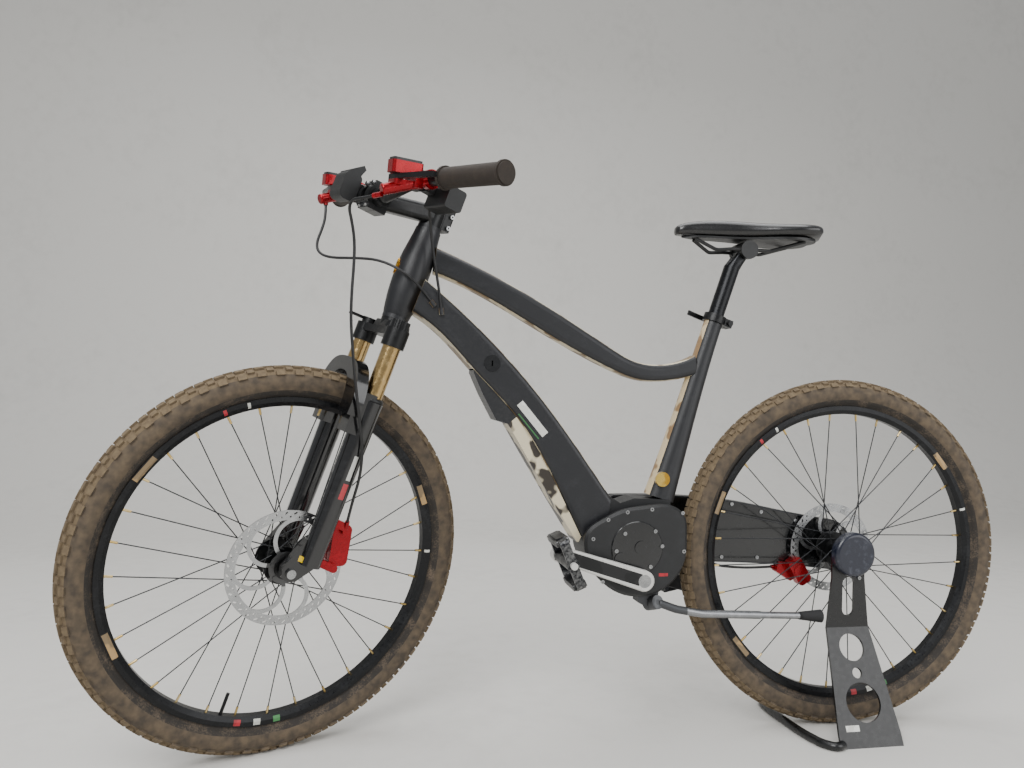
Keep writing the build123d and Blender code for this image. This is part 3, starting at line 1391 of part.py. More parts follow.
# ---------------------------------------------------------------- hoses
def bend_radii(points):
    """Largest even bend at each inner point of a route."""
    radii = []
    for before, corner, after in zip(points, points[1:], points[2:]):
        arriving = Vector(corner) - Vector(before)
        leaving = Vector(after) - Vector(corner)
        half_turn = math.radians(arriving.get_angle(leaving)) / 2
        radii.append(0.45 * min(arriving.length, leaving.length) / math.tan(half_turn))
    return radii


def build_hose(points):
    """Round hose of straight runs joined by tangent arcs."""
    first, second = Vector(points[0]), Vector(points[1])
    with BuildPart() as hose:
        with BuildLine():
            FilletPolyline(*points, radius=bend_radii(points))
        with BuildSketch(Plane(origin=first, z_dir=second - first)):
            Circle(HOSE_DIA / 2)
        sweep()
    return hose.part


save(build_hose(FRONT_HOSE), "front_brake_hose")
with BuildPart() as frame_hoses:
    for route in (REAR_HOSE, DISPLAY_CABLE, LOWER_HOSE):
        add(build_hose(route))
save(frame_hoses.part, "frame_hoses")

# ---------------------------------------------------------------- display stand
PLATE_MIDDLE = 5
PLATE_TOP_HALF = 35.5         # half widths at the cup, the bend and the floor
PLATE_BEND_HALF = 45.5
PLATE_FOOT_HALF = 65
slope_rise = STAND_BEND_Z / math.hypot(STAND_BEND_Z, STAND_FOOT_Y - STAND_Y)
slope_out = (STAND_FOOT_Y - STAND_Y) / math.hypot(STAND_BEND_Z, STAND_FOOT_Y - STAND_Y)
SLOPE = Plane(
    origin=(PLATE_MIDDLE, STAND_Y, STAND_BEND_Z), x_dir=(1, 0, 0), z_dir=(0, -slope_rise, -slope_out)
)
SLOPE_LENGTH = STAND_BEND_Z / slope_rise
SLOPE_HOLES = [(164, 26), (120, 10), (71, 36)]
STAND_ROUTE = [
    (66, 124, 8), (84, 132, 8), (102, 112, 8), (114, 58, 8), (117, 0, 8), (117, -58, 8), (112, -106, 8),
    (80, -130, 8), (10, -134, 8), (-70, -130, 8),
]
with BuildPart() as stand_base:
    with BuildSketch(side(BIKE, STAND_Y + PLATE)):
        with BuildLine():
            Polyline(
                (PLATE_MIDDLE - PLATE_TOP_HALF, 345), (PLATE_MIDDLE - PLATE_TOP_HALF, 297),
                (PLATE_MIDDLE - PLATE_BEND_HALF, STAND_BEND_Z),
                (PLATE_MIDDLE + PLATE_BEND_HALF, STAND_BEND_Z),
                (PLATE_MIDDLE + PLATE_TOP_HALF, 297), (PLATE_MIDDLE + PLATE_TOP_HALF, 345),
            )
            ThreePointArc(
                (PLATE_MIDDLE + PLATE_TOP_HALF, 345), (PLATE_MIDDLE, 345 + PLATE_TOP_HALF),
                (PLATE_MIDDLE - PLATE_TOP_HALF, 345),
            )
        make_face()
        with Locations((PLATE_MIDDLE, 262)):
            SlotOverall(76, 25, rotation=90, mode=Mode.SUBTRACT)
        with Locations((0, WHEEL_RADIUS)):
            Circle(REAR_AXLE_RADIUS + 0.5, mode=Mode.SUBTRACT)
    extrude(amount=PLATE)
    with BuildSketch(SLOPE):
        with BuildLine():
            Polyline(
                (-PLATE_BEND_HALF, 0), (PLATE_BEND_HALF, 0),
                (PLATE_FOOT_HALF, 22 - SLOPE_LENGTH), (PLATE_FOOT_HALF, -SLOPE_LENGTH - 4),
                (-PLATE_FOOT_HALF, -SLOPE_LENGTH - 4), (-PLATE_FOOT_HALF, 22 - SLOPE_LENGTH),
                close=True,
            )
        make_face()
        for hole_z, hole_radius in SLOPE_HOLES:
            with Locations((0, (hole_z - STAND_BEND_Z) / slope_rise)):
                Circle(hole_radius, mode=Mode.SUBTRACT)
    extrude(amount=-PLATE)
    with BuildLine():
        FilletPolyline(*STAND_ROUTE, radius=bend_radii(STAND_ROUTE))
    with BuildSketch(along(STAND_ROUTE[0], STAND_ROUTE[1])[0]):
        Circle(STAND_TUBE_DIA / 2)
    sweep()
    with BuildSketch(Plane.XY):
        Rectangle(600, 600)
    extrude(amount=-30, mode=Mode.SUBTRACT)
save(stand_base.part, "stand_base")

with BuildPart() as stand_cup:
    with BuildSketch(side(REAR_AXLE, CUP_OUT)):
        Circle(CUP_DIA / 2)
    extrude(amount=CUP_OUT - STAND_Y - PLATE)
    fillet(stand_cup.faces().sort_by(Axis.Y)[-1].edges(), 8)
    with BuildSketch(side(REAR_AXLE, CUP_OUT - 6)):
        Circle(REAR_AXLE_RADIUS)
    extrude(amount=30, mode=Mode.SUBTRACT)
save(stand_cup.part, "stand_cup")

# ---------------------------------------------------------------- screws on the frame
COVER_SCREWS = [(540, 384), (512, 419), (475, 433), (427, 438), (366, 431), (362, 359), (520, 305)]
ROUND_SCREWS = [(480, 394), (421, 398), (407, 370), (496, 362), (429, 332)]
PANEL_SCREWS = [(218, 434), (153, 418), (76, 400), (86, 328), (160, 325), (238, 327)]
STAND_SCREW = [(-18, 298)]
with BuildPart() as frame_screws:
    for spots, face_y in (
        (COVER_SCREWS, COVER_OUT - 2), (ROUND_SCREWS, COVER_OUT + 2), (PANEL_SCREWS, ARM_INNER_Y),
        (STAND_SCREW, STAND_Y + PLATE),
    ):
        with BuildSketch(side(BIKE, face_y + 2.6)):
            with Locations(*spots):
                Circle(3.6)
                RegularPolygon(1.7, 6, mode=Mode.SUBTRACT)
        extrude(amount=2.6)
        with BuildSketch(side(BIKE, face_y + 1)):
            with Locations(*spots):
                Circle(2)
        extrude(amount=6)
save(frame_screws.part, "frame_screws")
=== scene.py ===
"""Finishes, tyres, saddle, hoses and studio for the electric bicycle on its display stand."""

import json
import logging
import math
from dataclasses import dataclass, field, replace
from enum import Enum
from typing import Sequence

import bmesh
import bpy
from mathutils import Matrix, Vector


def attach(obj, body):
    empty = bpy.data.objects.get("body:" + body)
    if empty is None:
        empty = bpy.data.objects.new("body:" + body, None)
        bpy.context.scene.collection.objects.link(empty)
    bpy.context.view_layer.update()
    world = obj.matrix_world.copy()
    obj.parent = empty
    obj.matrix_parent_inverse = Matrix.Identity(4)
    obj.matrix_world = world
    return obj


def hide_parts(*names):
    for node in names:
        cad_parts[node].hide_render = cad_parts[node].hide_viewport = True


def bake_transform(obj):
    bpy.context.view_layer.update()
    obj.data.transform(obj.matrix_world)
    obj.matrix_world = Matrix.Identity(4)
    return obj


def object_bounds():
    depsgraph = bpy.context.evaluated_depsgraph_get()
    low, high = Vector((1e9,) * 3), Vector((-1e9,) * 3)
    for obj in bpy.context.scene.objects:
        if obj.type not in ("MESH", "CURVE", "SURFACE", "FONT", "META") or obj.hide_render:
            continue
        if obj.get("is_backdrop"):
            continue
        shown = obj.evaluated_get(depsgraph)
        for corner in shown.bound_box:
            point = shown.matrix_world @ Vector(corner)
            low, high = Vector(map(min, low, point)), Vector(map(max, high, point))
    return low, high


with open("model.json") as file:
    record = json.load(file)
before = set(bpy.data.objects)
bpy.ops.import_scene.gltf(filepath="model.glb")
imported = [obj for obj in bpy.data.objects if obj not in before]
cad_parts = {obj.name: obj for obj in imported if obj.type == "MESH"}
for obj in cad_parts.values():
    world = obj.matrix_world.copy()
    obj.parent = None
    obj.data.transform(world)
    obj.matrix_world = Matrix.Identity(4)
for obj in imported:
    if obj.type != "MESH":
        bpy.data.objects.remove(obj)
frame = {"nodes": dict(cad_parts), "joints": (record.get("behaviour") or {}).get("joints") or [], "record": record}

MM = 0.001
LOG = logging.getLogger("bicycle")
Point = tuple[float, float, float]


def linear(colour: str) -> tuple[float, float, float, float]:
    """Turns an sRGB hex colour into the linear colour that a shader takes."""
    parts = [int(colour[i : i + 2], 16) / 255 for i in (1, 3, 5)]
    r, g, b = (p / 12.92 if p <= 0.04045 else ((p + 0.055) / 1.055) ** 2.4 for p in parts)
    return r, g, b, 1.0


def put(tree: bpy.types.NodeTree, kind: str, sockets: dict | None = None, **settings) -> bpy.types.Node:
    """Adds a node, sets it up and links it.

    Args:
        tree: node tree that gets the node.
        kind: the node's type name.
        sockets: input name or number to a value, or to the socket that feeds it.
        settings: attributes of the node itself.

    Returns:
        The new node.
    """
    node = tree.nodes.new(kind)
    for name, value in settings.items():
        setattr(node, name, value)
    for key, value in (sockets or {}).items():
        if isinstance(value, bpy.types.NodeSocket):
            tree.links.new(value, node.inputs[key])
        else:
            node.inputs[key].default_value = value
    return node


# ---------------------------------------------------------------- frames of reference
@dataclass(frozen=True)
class Axes:
    """Origin and directions of one group of parts, in metres in the row frame."""

    origin: Vector
    x: Vector
    y: Vector
    z: Vector

    def at(self, x: float, y: float, z: float) -> Vector:
        """The point at x, y, z millimetres along these axes."""
        return self.origin + (self.x * x + self.y * y + self.z * z) * MM

    def matrix(self) -> Matrix:
        """Transform that takes a mesh built at the row's origin onto these axes."""
        turn = Matrix((self.x, self.y, self.z)).transposed().to_4x4()
        return Matrix.Translation(self.origin) @ turn


JOINTS = {joint["name"]: joint for joint in frame["joints"]}
ROW = Axes(Vector((0, 0, 0)), Vector((1, 0, 0)), Vector((0, 1, 0)), Vector((0, 0, 1)))
FORK_OFFSET = 43.0


def joint_vector(joint: str, key: str) -> Vector:
    """A joint's position or axis as a vector."""
    return Vector(JOINTS[joint][key])


steer_up = joint_vector("steering", "axis").normalized()
wheel_left = joint_vector("front_wheel_spin", "axis").normalized()
fork_forward = wheel_left.cross(steer_up).normalized()
FRONT = Axes(joint_vector("front_wheel_spin", "pos_m"), fork_forward, wheel_left, steer_up)
FORK = Axes(FRONT.at(-FORK_OFFSET, 0, 0), fork_forward, wheel_left, steer_up)
REAR = Axes(joint_vector("rear_wheel_spin", "pos_m"), ROW.x, ROW.y, ROW.z)


# ---------------------------------------------------------------- finishes
class Area(Enum):
    """Ways to pick out part of a surface."""

    BALL = "nearer to a point than the limit"
    INSIDE = "nearer to an axis than the limit"
    OUTSIDE = "further from an axis than the limit"
    BEYOND = "past a plane"
    EDGE_ON = "facing across an axis"
    BOX = "inside a turned box"


@dataclass(frozen=True)
class Mask:
    """Part of a surface, picked by place or by the way it faces."""

    area: Area
    centre: Sequence[float] = (0.0, 0.0, 0.0)
    axis: Sequence[float] = (0.0, 1.0, 0.0)
    limit: float = 0.0
    turn: Sequence[float] = (0.0, 0.0, 0.0)
    half: Sequence[float] = (1.0, 1.0, 1.0)

    def factor(self, tree: bpy.types.NodeTree, place: bpy.types.Node) -> bpy.types.NodeSocket:
        """Builds the nodes that give 1 inside the area and 0 outside."""
        if self.area is Area.BOX:
            inside = put(
                tree, "ShaderNodeMapping",
                {
                    "Vector": place.outputs["Object"], "Location": tuple(self.centre),
                    "Rotation": tuple(self.turn), "Scale": tuple(self.half),
                },
                vector_type="TEXTURE",
            ).outputs[0]
            sizes = put(tree, "ShaderNodeVectorMath", {0: inside}, operation="ABSOLUTE").outputs[0]
            each = put(tree, "ShaderNodeSeparateXYZ", {0: sizes}).outputs
            most = put(tree, "ShaderNodeMath", {0: each[0], 1: each[1]}, operation="MAXIMUM").outputs[0]
            most = put(tree, "ShaderNodeMath", {0: most, 1: each[2]}, operation="MAXIMUM").outputs[0]
            return put(tree, "ShaderNodeMath", {0: most, 1: 1.0}, operation="LESS_THAN").outputs[0]
        if self.area is Area.EDGE_ON:
            facing = put(
                tree, "ShaderNodeVectorMath", {0: place.outputs["Normal"], 1: tuple(self.axis)},
                operation="DOT_PRODUCT",
            )
            size = put(tree, "ShaderNodeMath", {0: facing.outputs["Value"]}, operation="ABSOLUTE")
            return put(
                tree, "ShaderNodeMath", {0: size.outputs[0], 1: self.limit}, operation="LESS_THAN"
            ).outputs[0]
        offset = put(
            tree, "ShaderNodeVectorMath", {0: place.outputs["Object"], 1: tuple(self.centre)},
            operation="SUBTRACT",
        ).outputs[0]
        if self.area is Area.BEYOND:
            ahead = put(
                tree, "ShaderNodeVectorMath", {0: offset, 1: tuple(self.axis)}, operation="DOT_PRODUCT"
            )
            return put(
                tree, "ShaderNodeMath", {0: ahead.outputs["Value"], 1: self.limit},
                operation="GREATER_THAN",
            ).outputs[0]
        if self.area is not Area.BALL:
            offset = put(
                tree, "ShaderNodeVectorMath", {0: offset, 1: tuple(self.axis)}, operation="CROSS_PRODUCT"
            ).outputs[0]
        away = put(tree, "ShaderNodeVectorMath", {0: offset}, operation="LENGTH")
        test = "GREATER_THAN" if self.area is Area.OUTSIDE else "LESS_THAN"
        return put(
            tree, "ShaderNodeMath", {0: away.outputs["Value"], 1: self.limit}, operation=test
        ).outputs[0]


@dataclass(frozen=True)
class Patch:
    """Areas of a piece that have another colour; every mask has to hold."""

    masks: tuple[Mask, ...]
    colour: str
    second: str
    roughness: float = 0.5
    metallic: float = 0.0
    blotch_mm: float = 40.0
    spread: float = 0.02


@dataclass(frozen=True)
class Finish:
    """A real material, with its grain, wear and any patches."""

    name: str
    colour: str
    second: str
    roughness: float
    metallic: float = 0.0
    ior: float = 1.5
    coat: float = 0.0
    grain_mm: float = 6.0
    bump_mm: float = 0.05
    stretch: Point = (1.0, 1.0, 1.0)
    wear: float = 0.55
    patches: tuple[Patch, ...] = ()

    def build(self) -> bpy.types.Material:
        """Makes the shader.

        Returns:
            The material, ready to put on a mesh.
        """
        material = bpy.data.materials.new(self.name)
        material.use_nodes = True
        tree = material.node_tree
        tree.nodes.clear()
        place = put(tree, "ShaderNodeTexCoord")
        stretched = put(
            tree, "ShaderNodeVectorMath", {0: place.outputs["Object"], 1: self.stretch},
            operation="MULTIPLY",
        ).outputs[0]
        grain = put(
            tree, "ShaderNodeTexNoise",
            {"Vector": stretched, "Scale": 1 / (self.grain_mm * MM), "Detail": 5.0, "Roughness": 0.6},
        ).outputs[0]
        broad = put(
            tree, "ShaderNodeTexNoise",
            {"Vector": place.outputs["Object"], "Scale": 1 / (self.grain_mm * MM * 9), "Detail": 3.0},
        ).outputs[0]
        both = put(tree, "ShaderNodeMath", {0: grain, 1: broad}, operation="MULTIPLY").outputs[0]
        worn = put(
            tree, "ShaderNodeMapRange",
            {"Value": both, "From Min": self.wear * 0.45, "From Max": self.wear},
        ).outputs[0]
        colour = self.mixed(tree, worn, linear(self.colour), linear(self.second))
        roughness = put(
            tree, "ShaderNodeMapRange",
            {
                "Value": grain, "From Min": 0.3, "From Max": 0.7,
                "To Min": max(0.03, self.roughness - 0.08), "To Max": min(1.0, self.roughness + 0.1),
            },
        ).outputs[0]
        metallic: bpy.types.NodeSocket | float = self.metallic
        for patch in self.patches:
            inside = patch.masks[0].factor(tree, place)
            for mask in patch.masks[1:]:
                inside = put(
                    tree, "ShaderNodeMath", {0: inside, 1: mask.factor(tree, place)}, operation="MULTIPLY"
                ).outputs[0]
            blotch = put(
                tree, "ShaderNodeTexNoise",
                {"Vector": place.outputs["Object"], "Scale": 1 / (patch.blotch_mm * MM), "Detail": 2.0},
            ).outputs[0]
            step = put(
                tree, "ShaderNodeMapRange",
                {"Value": blotch, "From Min": 0.51 - patch.spread, "From Max": 0.51 + patch.spread},
            ).outputs[0]
            paint = self.mixed(tree, step, linear(patch.colour), linear(patch.second))
            colour = self.mixed(tree, inside, colour, paint)
            roughness = self.blended(tree, inside, roughness, patch.roughness)
            metallic = self.blended(tree, inside, metallic, patch.metallic)
        bump = put(
            tree, "ShaderNodeBump", {"Height": grain, "Distance": self.bump_mm * MM, "Strength": 0.8}
        ).outputs[0]
        surface = put(
            tree, "ShaderNodeBsdfPrincipled",
            {
                "Base Color": colour, "Roughness": roughness, "Metallic": metallic, "IOR": self.ior,
                "Coat Weight": self.coat, "Coat Roughness": 0.08, "Normal": bump,
            },
        ).outputs[0]
        put(tree, "ShaderNodeOutputMaterial", {"Surface": surface})
        return material

    @staticmethod
    def mixed(tree: bpy.types.NodeTree, factor, first, second) -> bpy.types.NodeSocket:
        """Mixes two colours, each a value or a socket."""
        node = put(tree, "ShaderNodeMix", {0: factor, 6: first, 7: second}, data_type="RGBA")
        return node.outputs[2]

    @staticmethod
    def blended(tree: bpy.types.NodeTree, factor, first, second) -> bpy.types.NodeSocket:
        """Mixes two numbers, each a value or a socket."""
        node = put(tree, "ShaderNodeMix", {0: factor, 2: first, 3: second}, data_type="FLOAT")
        return node.outputs[0]


BLACK_PAINT = "#17181b"
CREAM = "#c8bda2"
TAN = "#7d6a4e"
BAND_TAN = (TAN, "#a8895c")
BAND_WHITE = ("#cfcfc8", "#b9b9b1")
LABEL_WHITE = ("#d8d8d2", "#c9c9c2")
LABEL_RED = ("#a3202a", "#8c1a22")
LABEL_GREEN = ("#3f7a45", "#35683b")
ARM_BLACK = ("#0f1011", "#1c1c1d")
BADGE_GOLD = ("#c79a3c", "#e2c169")
COPPER = "#8d7252"
OUTER_FACES = Mask(Area.EDGE_ON, limit=0.55)
ABOVE_MOTOR = Mask(Area.BEYOND, (0.45, 0, 0.47), (0.0, 0.0, 1.0))


def label_box(axes: Axes, centre: Point, half: Point, tilt_deg: float = 0.0) -> Mask:
    """Box mask in millimetres along some axes, tilted in their xz plane."""
    tilt = Matrix.Rotation(math.radians(-tilt_deg), 4, "Y")
    turn = (axes.matrix() @ tilt).to_euler()
    return Mask(Area.BOX, tuple(axes.at(*centre)), turn=tuple(turn), half=tuple(h * MM for h in half))


def rim_patches(axes: Axes) -> tuple[Patch, ...]:
    """Generic coloured bands round a rim's flat sides."""
    radius = 286.0
    bands = (
        (20, 46, BAND_TAN), (50, 6, LABEL_RED), (58, 5, BAND_WHITE),
        (140, 40, BAND_TAN), (163, 5, BAND_WHITE), (250, 12, LABEL_GREEN),
        (257, 12, BAND_WHITE), (264, 12, LABEL_RED), (320, 46, BAND_TAN),
    )
    made = []
    for turn, length, colours in bands:
        angle = math.radians(turn)
        place = (radius * math.cos(angle), 0.0, radius * math.sin(angle))
        band = label_box(axes, place, (5, 20, length / 2), turn)
        made.append(Patch((band,), *colours, 0.45, 0.0, 30))
    return tuple(made)


def wheel_masks(axes: Axes, area: Area, radius_mm: float) -> tuple[Mask, ...]:
    """Mask round a wheel's axle."""
    return (Mask(area, tuple(axes.origin), tuple(axes.y), radius_mm * MM),)


def disc_finish(name: str, axes: Axes, centre_mm: float) -> Finish:
    """Ground steel brake disc whose bolted centre is black."""
    return Finish(
        name, "#a9aaab", "#c9cacb", 0.28, 1.0, 2.9, grain_mm=1.2, bump_mm=0.01,
        patches=(Patch(wheel_masks(axes, Area.INSIDE, centre_mm), "#131314", "#1c1c1e", 0.45, 0.6),),
    )


def spoke_finish(name: str, axes: Axes) -> Finish:
    """Dark steel spokes with brass nipples."""
    return Finish(
        name, "#3b3c3e", "#5a5a5a", 0.4, 1.0, 2.9, grain_mm=4, bump_mm=0.01,
        patches=(Patch(wheel_masks(axes, Area.OUTSIDE, 264), "#c0a468", "#d8c08a", 0.35, 1.0),),
    )


RESERVOIR_UP = FORK.x * 0.29 + FORK.z * 0.957
FINISHES = {
    "frame_black": Finish(
        "matt anthracite paint", BLACK_PAINT, "#26272a", 0.42, grain_mm=3, bump_mm=0.01,
        patches=(Patch((OUTER_FACES, ABOVE_MOTOR), CREAM, TAN, 0.45, 0.1, 55),),
    ),
    "motor_black": Finish("matt moulded cover", "#141516", "#242527", 0.5, grain_mm=2, bump_mm=0.03),
    "gloss_black": Finish("gloss moulded cover", "#0c0d0e", "#1b1c1e", 0.2, coat=0.5, grain_mm=12),
    "battery_skin": Finish(
        "battery skin", "#1a1b1d", "#2b2b2c", 0.4, grain_mm=4, bump_mm=0.02,
        patches=(
            Patch(
                (Mask(Area.BEYOND, (0.697, 0, 0.594), (-0.65, 0.0, -0.76)),), CREAM, "#2c2620", 0.42, 0.0, 45
            ),
        ),
    ),
    "steel": Finish("zinc steel", "#9a9b9c", "#c6c6c4", 0.3, 1.0, 2.9, grain_mm=2, bump_mm=0.01),
    "black_alloy": Finish(
        "black anodised alloy", "#0b0c0d", "#3a3a39", 0.34, 0.3, grain_mm=5, bump_mm=0.02, wear=0.66
    ),
    "grey_alloy": Finish(
        "cast grey alloy", "#4b4c4e", "#6a6b6c", 0.5, 0.8, 1.44, grain_mm=2.5, bump_mm=0.1
    ),
    "brake_red": Finish(
        "red anodised alloy", "#8f0814", "#bd1526", 0.28, 0.7, 1.44, coat=0.2, grain_mm=8, bump_mm=0.01,
        patches=(
            Patch(
                (Mask(Area.BEYOND, tuple(FORK.at(97, 0, 689.5)), tuple(RESERVOIR_UP), 0.0196),),
                "#0e0e0f", "#1a1a1b", 0.4, 0.0, 20,
            ),
        ),
    ),
    "hose": Finish("hose rubber", "#0f0f10", "#232324", 0.42, grain_mm=2, bump_mm=0.02),
    "stand_black": Finish(
        "gloss powder coat", "#08090a", "#1d1d1e", 0.3, coat=0.15, grain_mm=9, bump_mm=0.04, wear=0.6,
        patches=(Patch((label_box(ROW, (39, 108, 32), (14, 24, 5)),), "#d8d8d2", "#c4c4bd", 0.5, 0.0, 20),),
    ),
    "cup_blue": Finish(
        "scuffed navy moulding", "#0f1424", "#7d8290", 0.3, coat=0.3, grain_mm=1.1, stretch=(1, 1, 5),
        bump_mm=0.03, wear=0.68,
    ),
    "rim_black": Finish("black anodised rim", "#121315", "#2c2d2f", 0.32, 0.5, grain_mm=5, bump_mm=0.01),
    "tyre": Finish("muddy tyre rubber", "#2a2622", "#6b5d4d", 0.85, grain_mm=3, bump_mm=0.4, wear=0.5),
    "stanchion_gold": Finish(
        "champagne anodised tube", "#b79a68", "#cdb488", 0.2, 1.0, 1.44, grain_mm=7, bump_mm=0.005
    ),
    "grip": Finish("grip rubber", "#29221c", "#3d332a", 0.78, grain_mm=1.4, bump_mm=0.5),
    "plastic_black": Finish("matt black moulding", "#111213", "#232425", 0.5, grain_mm=1.5, bump_mm=0.05),
    "plastic_grey": Finish("grey button moulding", "#7d7f82", "#8e9093", 0.45, grain_mm=2),
    "lowers_black": Finish(
        "gloss black magnesium", "#0b0b0c", "#1b1b1d", 0.18, coat=0.6, grain_mm=10,
        patches=(
            Patch((label_box(FORK, (14, 86, 200), (4, 8, 22)),), "#c9c9c4", "#b8b8b2", 0.4, 0.0, 30),
            Patch((label_box(FORK, (14, 86, 158), (5, 8, 14)),), *LABEL_RED, 0.4, 0.0, 30),
            Patch((label_box(FORK, (30, 67, 28), (9, 6, 5)),), "#d6b71c", "#c2a312", 0.4, 0.0, 30),
        ),
    ),
    "post_alloy": Finish("satin black post", "#191a1c", "#333437", 0.3, 0.6, 1.44, grain_mm=4, bump_mm=0.01),
    "rail_steel": Finish("black saddle rail", "#101011", "#2c2c2d", 0.35, 0.6, 2.9, grain_mm=4),
    "saddle_cover": Finish(
        "glossy saddle leather", "#0c0c0d", "#1c1b1b", 0.26, coat=0.35, grain_mm=1.1, bump_mm=0.12
    ),
    "pedal_alloy": Finish(
        "worn cast pedal", "#232427", "#8d8d8c", 0.42, 0.8, 1.44, grain_mm=5, bump_mm=0.05, wear=0.46
    ),
    "kick_alloy": Finish(
        "brushed stand leg", "#8f9092", "#b5b6b7", 0.32, 1.0, 1.44, grain_mm=2, bump_mm=0.01,
        patches=(
            Patch((Mask(Area.BEYOND, (0.352, 0, 0), (1.0, 0.0, 0.0)),), "#4b4c4e", "#5f6062", 0.5, 0.6),
            Patch((Mask(Area.BEYOND, (0.119, 0, 0), (-1.0, 0.0, 0.0)),), "#121213", "#1e1e1f", 0.75),
        ),
    ),
}
CRANK_REST = math.radians(17.5)
CRANK = Axes(
    joint_vector("crank_spin", "pos_m"),
    Vector((math.cos(CRANK_REST), 0, math.sin(CRANK_REST))),
    ROW.y,
    Vector((-math.sin(CRANK_REST), 0, math.cos(CRANK_REST))),
)
NODE_FINISHES = {
    "crank_arms": Finish(
        "worn crank arm", "#c9c8c4", "#8f8e8a", 0.42, 0.3, grain_mm=3, bump_mm=0.04, wear=0.6,
        patches=(
            Patch((label_box(CRANK, (92, 0, 0), (84, 130, 11)),), *ARM_BLACK, 0.4, 0.2, 40),
            Patch((Mask(Area.BEYOND, axis=(0.0, -1.0, 0.0)),), *ARM_BLACK, 0.4, 0.2, 40),
        ),
    ),
    "saddle_base": Finish("saddle shell moulding", "#090a0a", "#171718", 0.4, grain_mm=2, bump_mm=0.03),
    "key_lock": FINISHES["gloss_black"],
    "down_tube": Finish(
        "down tube paint", BLACK_PAINT, "#26272a", 0.42, grain_mm=3, bump_mm=0.01,
        patches=(
            Patch((OUTER_FACES, ABOVE_MOTOR), CREAM, TAN, 0.45, 0.1, 55),
            Patch((label_box(ROW, (655, 35, 602), (38, 12, 7), 49.5),), *LABEL_WHITE, 0.45, 0.0, 40),
            Patch((label_box(ROW, (662, 35, 588), (30, 12, 1.2), 49.5),), *LABEL_GREEN, 0.45, 0.0, 40),
        ),
    ),
    "motor_cover": Finish(
        "left cover moulding", "#141516", "#242527", 0.5, grain_mm=2, bump_mm=0.03,
        patches=(Patch((label_box(ROW, (402, 52, 316), (9, 20, 3)),), *LABEL_RED, 0.4, 0.0, 30),),
    ),
    "front_rim": replace(FINISHES["rim_black"], name="front rim black", patches=rim_patches(FRONT)),
    "rear_rim": replace(FINISHES["rim_black"], name="rear rim black", patches=rim_patches(REAR)),
    "front_rotor": disc_finish("front disc steel", FRONT, 33),
    "rear_rotor": disc_finish("rear disc steel", REAR, 33),
    "front_spokes": spoke_finish("front spoke steel", FRONT),
    "rear_spokes": spoke_finish("rear spoke steel", REAR),
    "head_tube": Finish(
        "head tube paint", BLACK_PAINT, "#26272a", 0.4, grain_mm=3, bump_mm=0.01,
        patches=(
            Patch((Mask(Area.BALL, (0.9075, 0, 0.8753), limit=0.017),), *BADGE_GOLD, 0.25, 1.0),
        ),
    ),
    "seat_tube": Finish(
        "seat tube paint", BLACK_PAINT, "#26272a", 0.42, grain_mm=3, bump_mm=0.01,
        patches=(
            Patch(
                (Mask(Area.BEYOND, (0.33, 0, 0.5), (0.949, 0.0, 0.316), 0.05), Mask(Area.EDGE_ON, limit=0.6)),
                COPPER, "#cdbb98", 0.42, 0.1, 45,
            ),
            Patch((Mask(Area.BALL, (0.396, 0.03, 0.491), limit=0.015),), *BADGE_GOLD, 0.25, 1.0),
        ),
    ),
}


@dataclass
class Palette:
    """Materials made once each and shared by name."""

    made: dict[str, bpy.types.Material] = field(default_factory=dict)

    def get(self, finish: Finish) -> bpy.types.Material:
        """The material of a finish, built the first time it is asked for."""
        if finish.name not in self.made:
            self.made[finish.name] = finish.build()
        return self.made[finish.name]

    def dress_frame(self) -> None:
        """Puts a finish on every CAD node from its material slot."""
        for part in frame["record"]["subparts"]:
            node = part["node"]
            finish = NODE_FINISHES.get(node) or FINISHES.get(part["material_slot"]) or FINISHES["steel"]
            mesh = frame["nodes"][node].data
            mesh.materials.clear()
            mesh.materials.append(self.get(finish))
            for polygon in mesh.polygons:
                polygon.material_index = 0


PALETTE = Palette()


# ---------------------------------------------------------------- meshes
def new_piece(
    name: str, mesh: bpy.types.Mesh, body: str | None, finish: Finish
) -> bpy.types.Object:
    """Links a mesh as a piece of the object.

    Args:
        name: piece name.
        mesh: its mesh, in the row frame.
        body: body that carries it, or None where it bends between two.
        finish: what it is made of.

    Returns:
        The new object.
    """
    mesh.materials.clear()
    mesh.materials.append(PALETTE.get(finish))
    for polygon in mesh.polygons:
        polygon.material_index = 0
    piece = bpy.data.objects.new(name, mesh)
    bpy.context.scene.collection.objects.link(piece)
    if body:
        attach(piece, body)
    return piece


def lofted(name: str, rings: Sequence[Sequence[Vector]], closed: bool = False) -> bpy.types.Mesh:
    """Skins rings of equal length, joins the ends if closed and caps them if not."""
    build = bmesh.new()
    rows = [[build.verts.new(point) for point in ring] for ring in rings]
    count = len(rows[0])
    pairs = list(zip(rows, rows[1:] + rows[:1])) if closed else list(zip(rows, rows[1:]))
    for low, high in pairs:
        for i in range(count):
            j = (i + 1) % count
            build.faces.new((low[i], low[j], high[j], high[i]))
    if not closed:
        build.faces.new(rows[0][::-1])
        build.faces.new(rows[-1])
    bmesh.ops.recalc_face_normals(build, faces=build.faces)
    for face in build.faces:
        face.smooth = True
    mesh = bpy.data.meshes.new(name)
    build.to_mesh(mesh)
    build.free()
    return mesh


def baked(work: bpy.types.Object) -> bpy.types.Mesh:
    """Plain mesh of an object with its modifiers applied; the object itself is removed."""
    graph = bpy.context.evaluated_depsgraph_get()
    graph.update()
    mesh = bpy.data.meshes.new_from_object(work.evaluated_get(graph), depsgraph=graph)
    bpy.data.objects.remove(work)
    return mesh


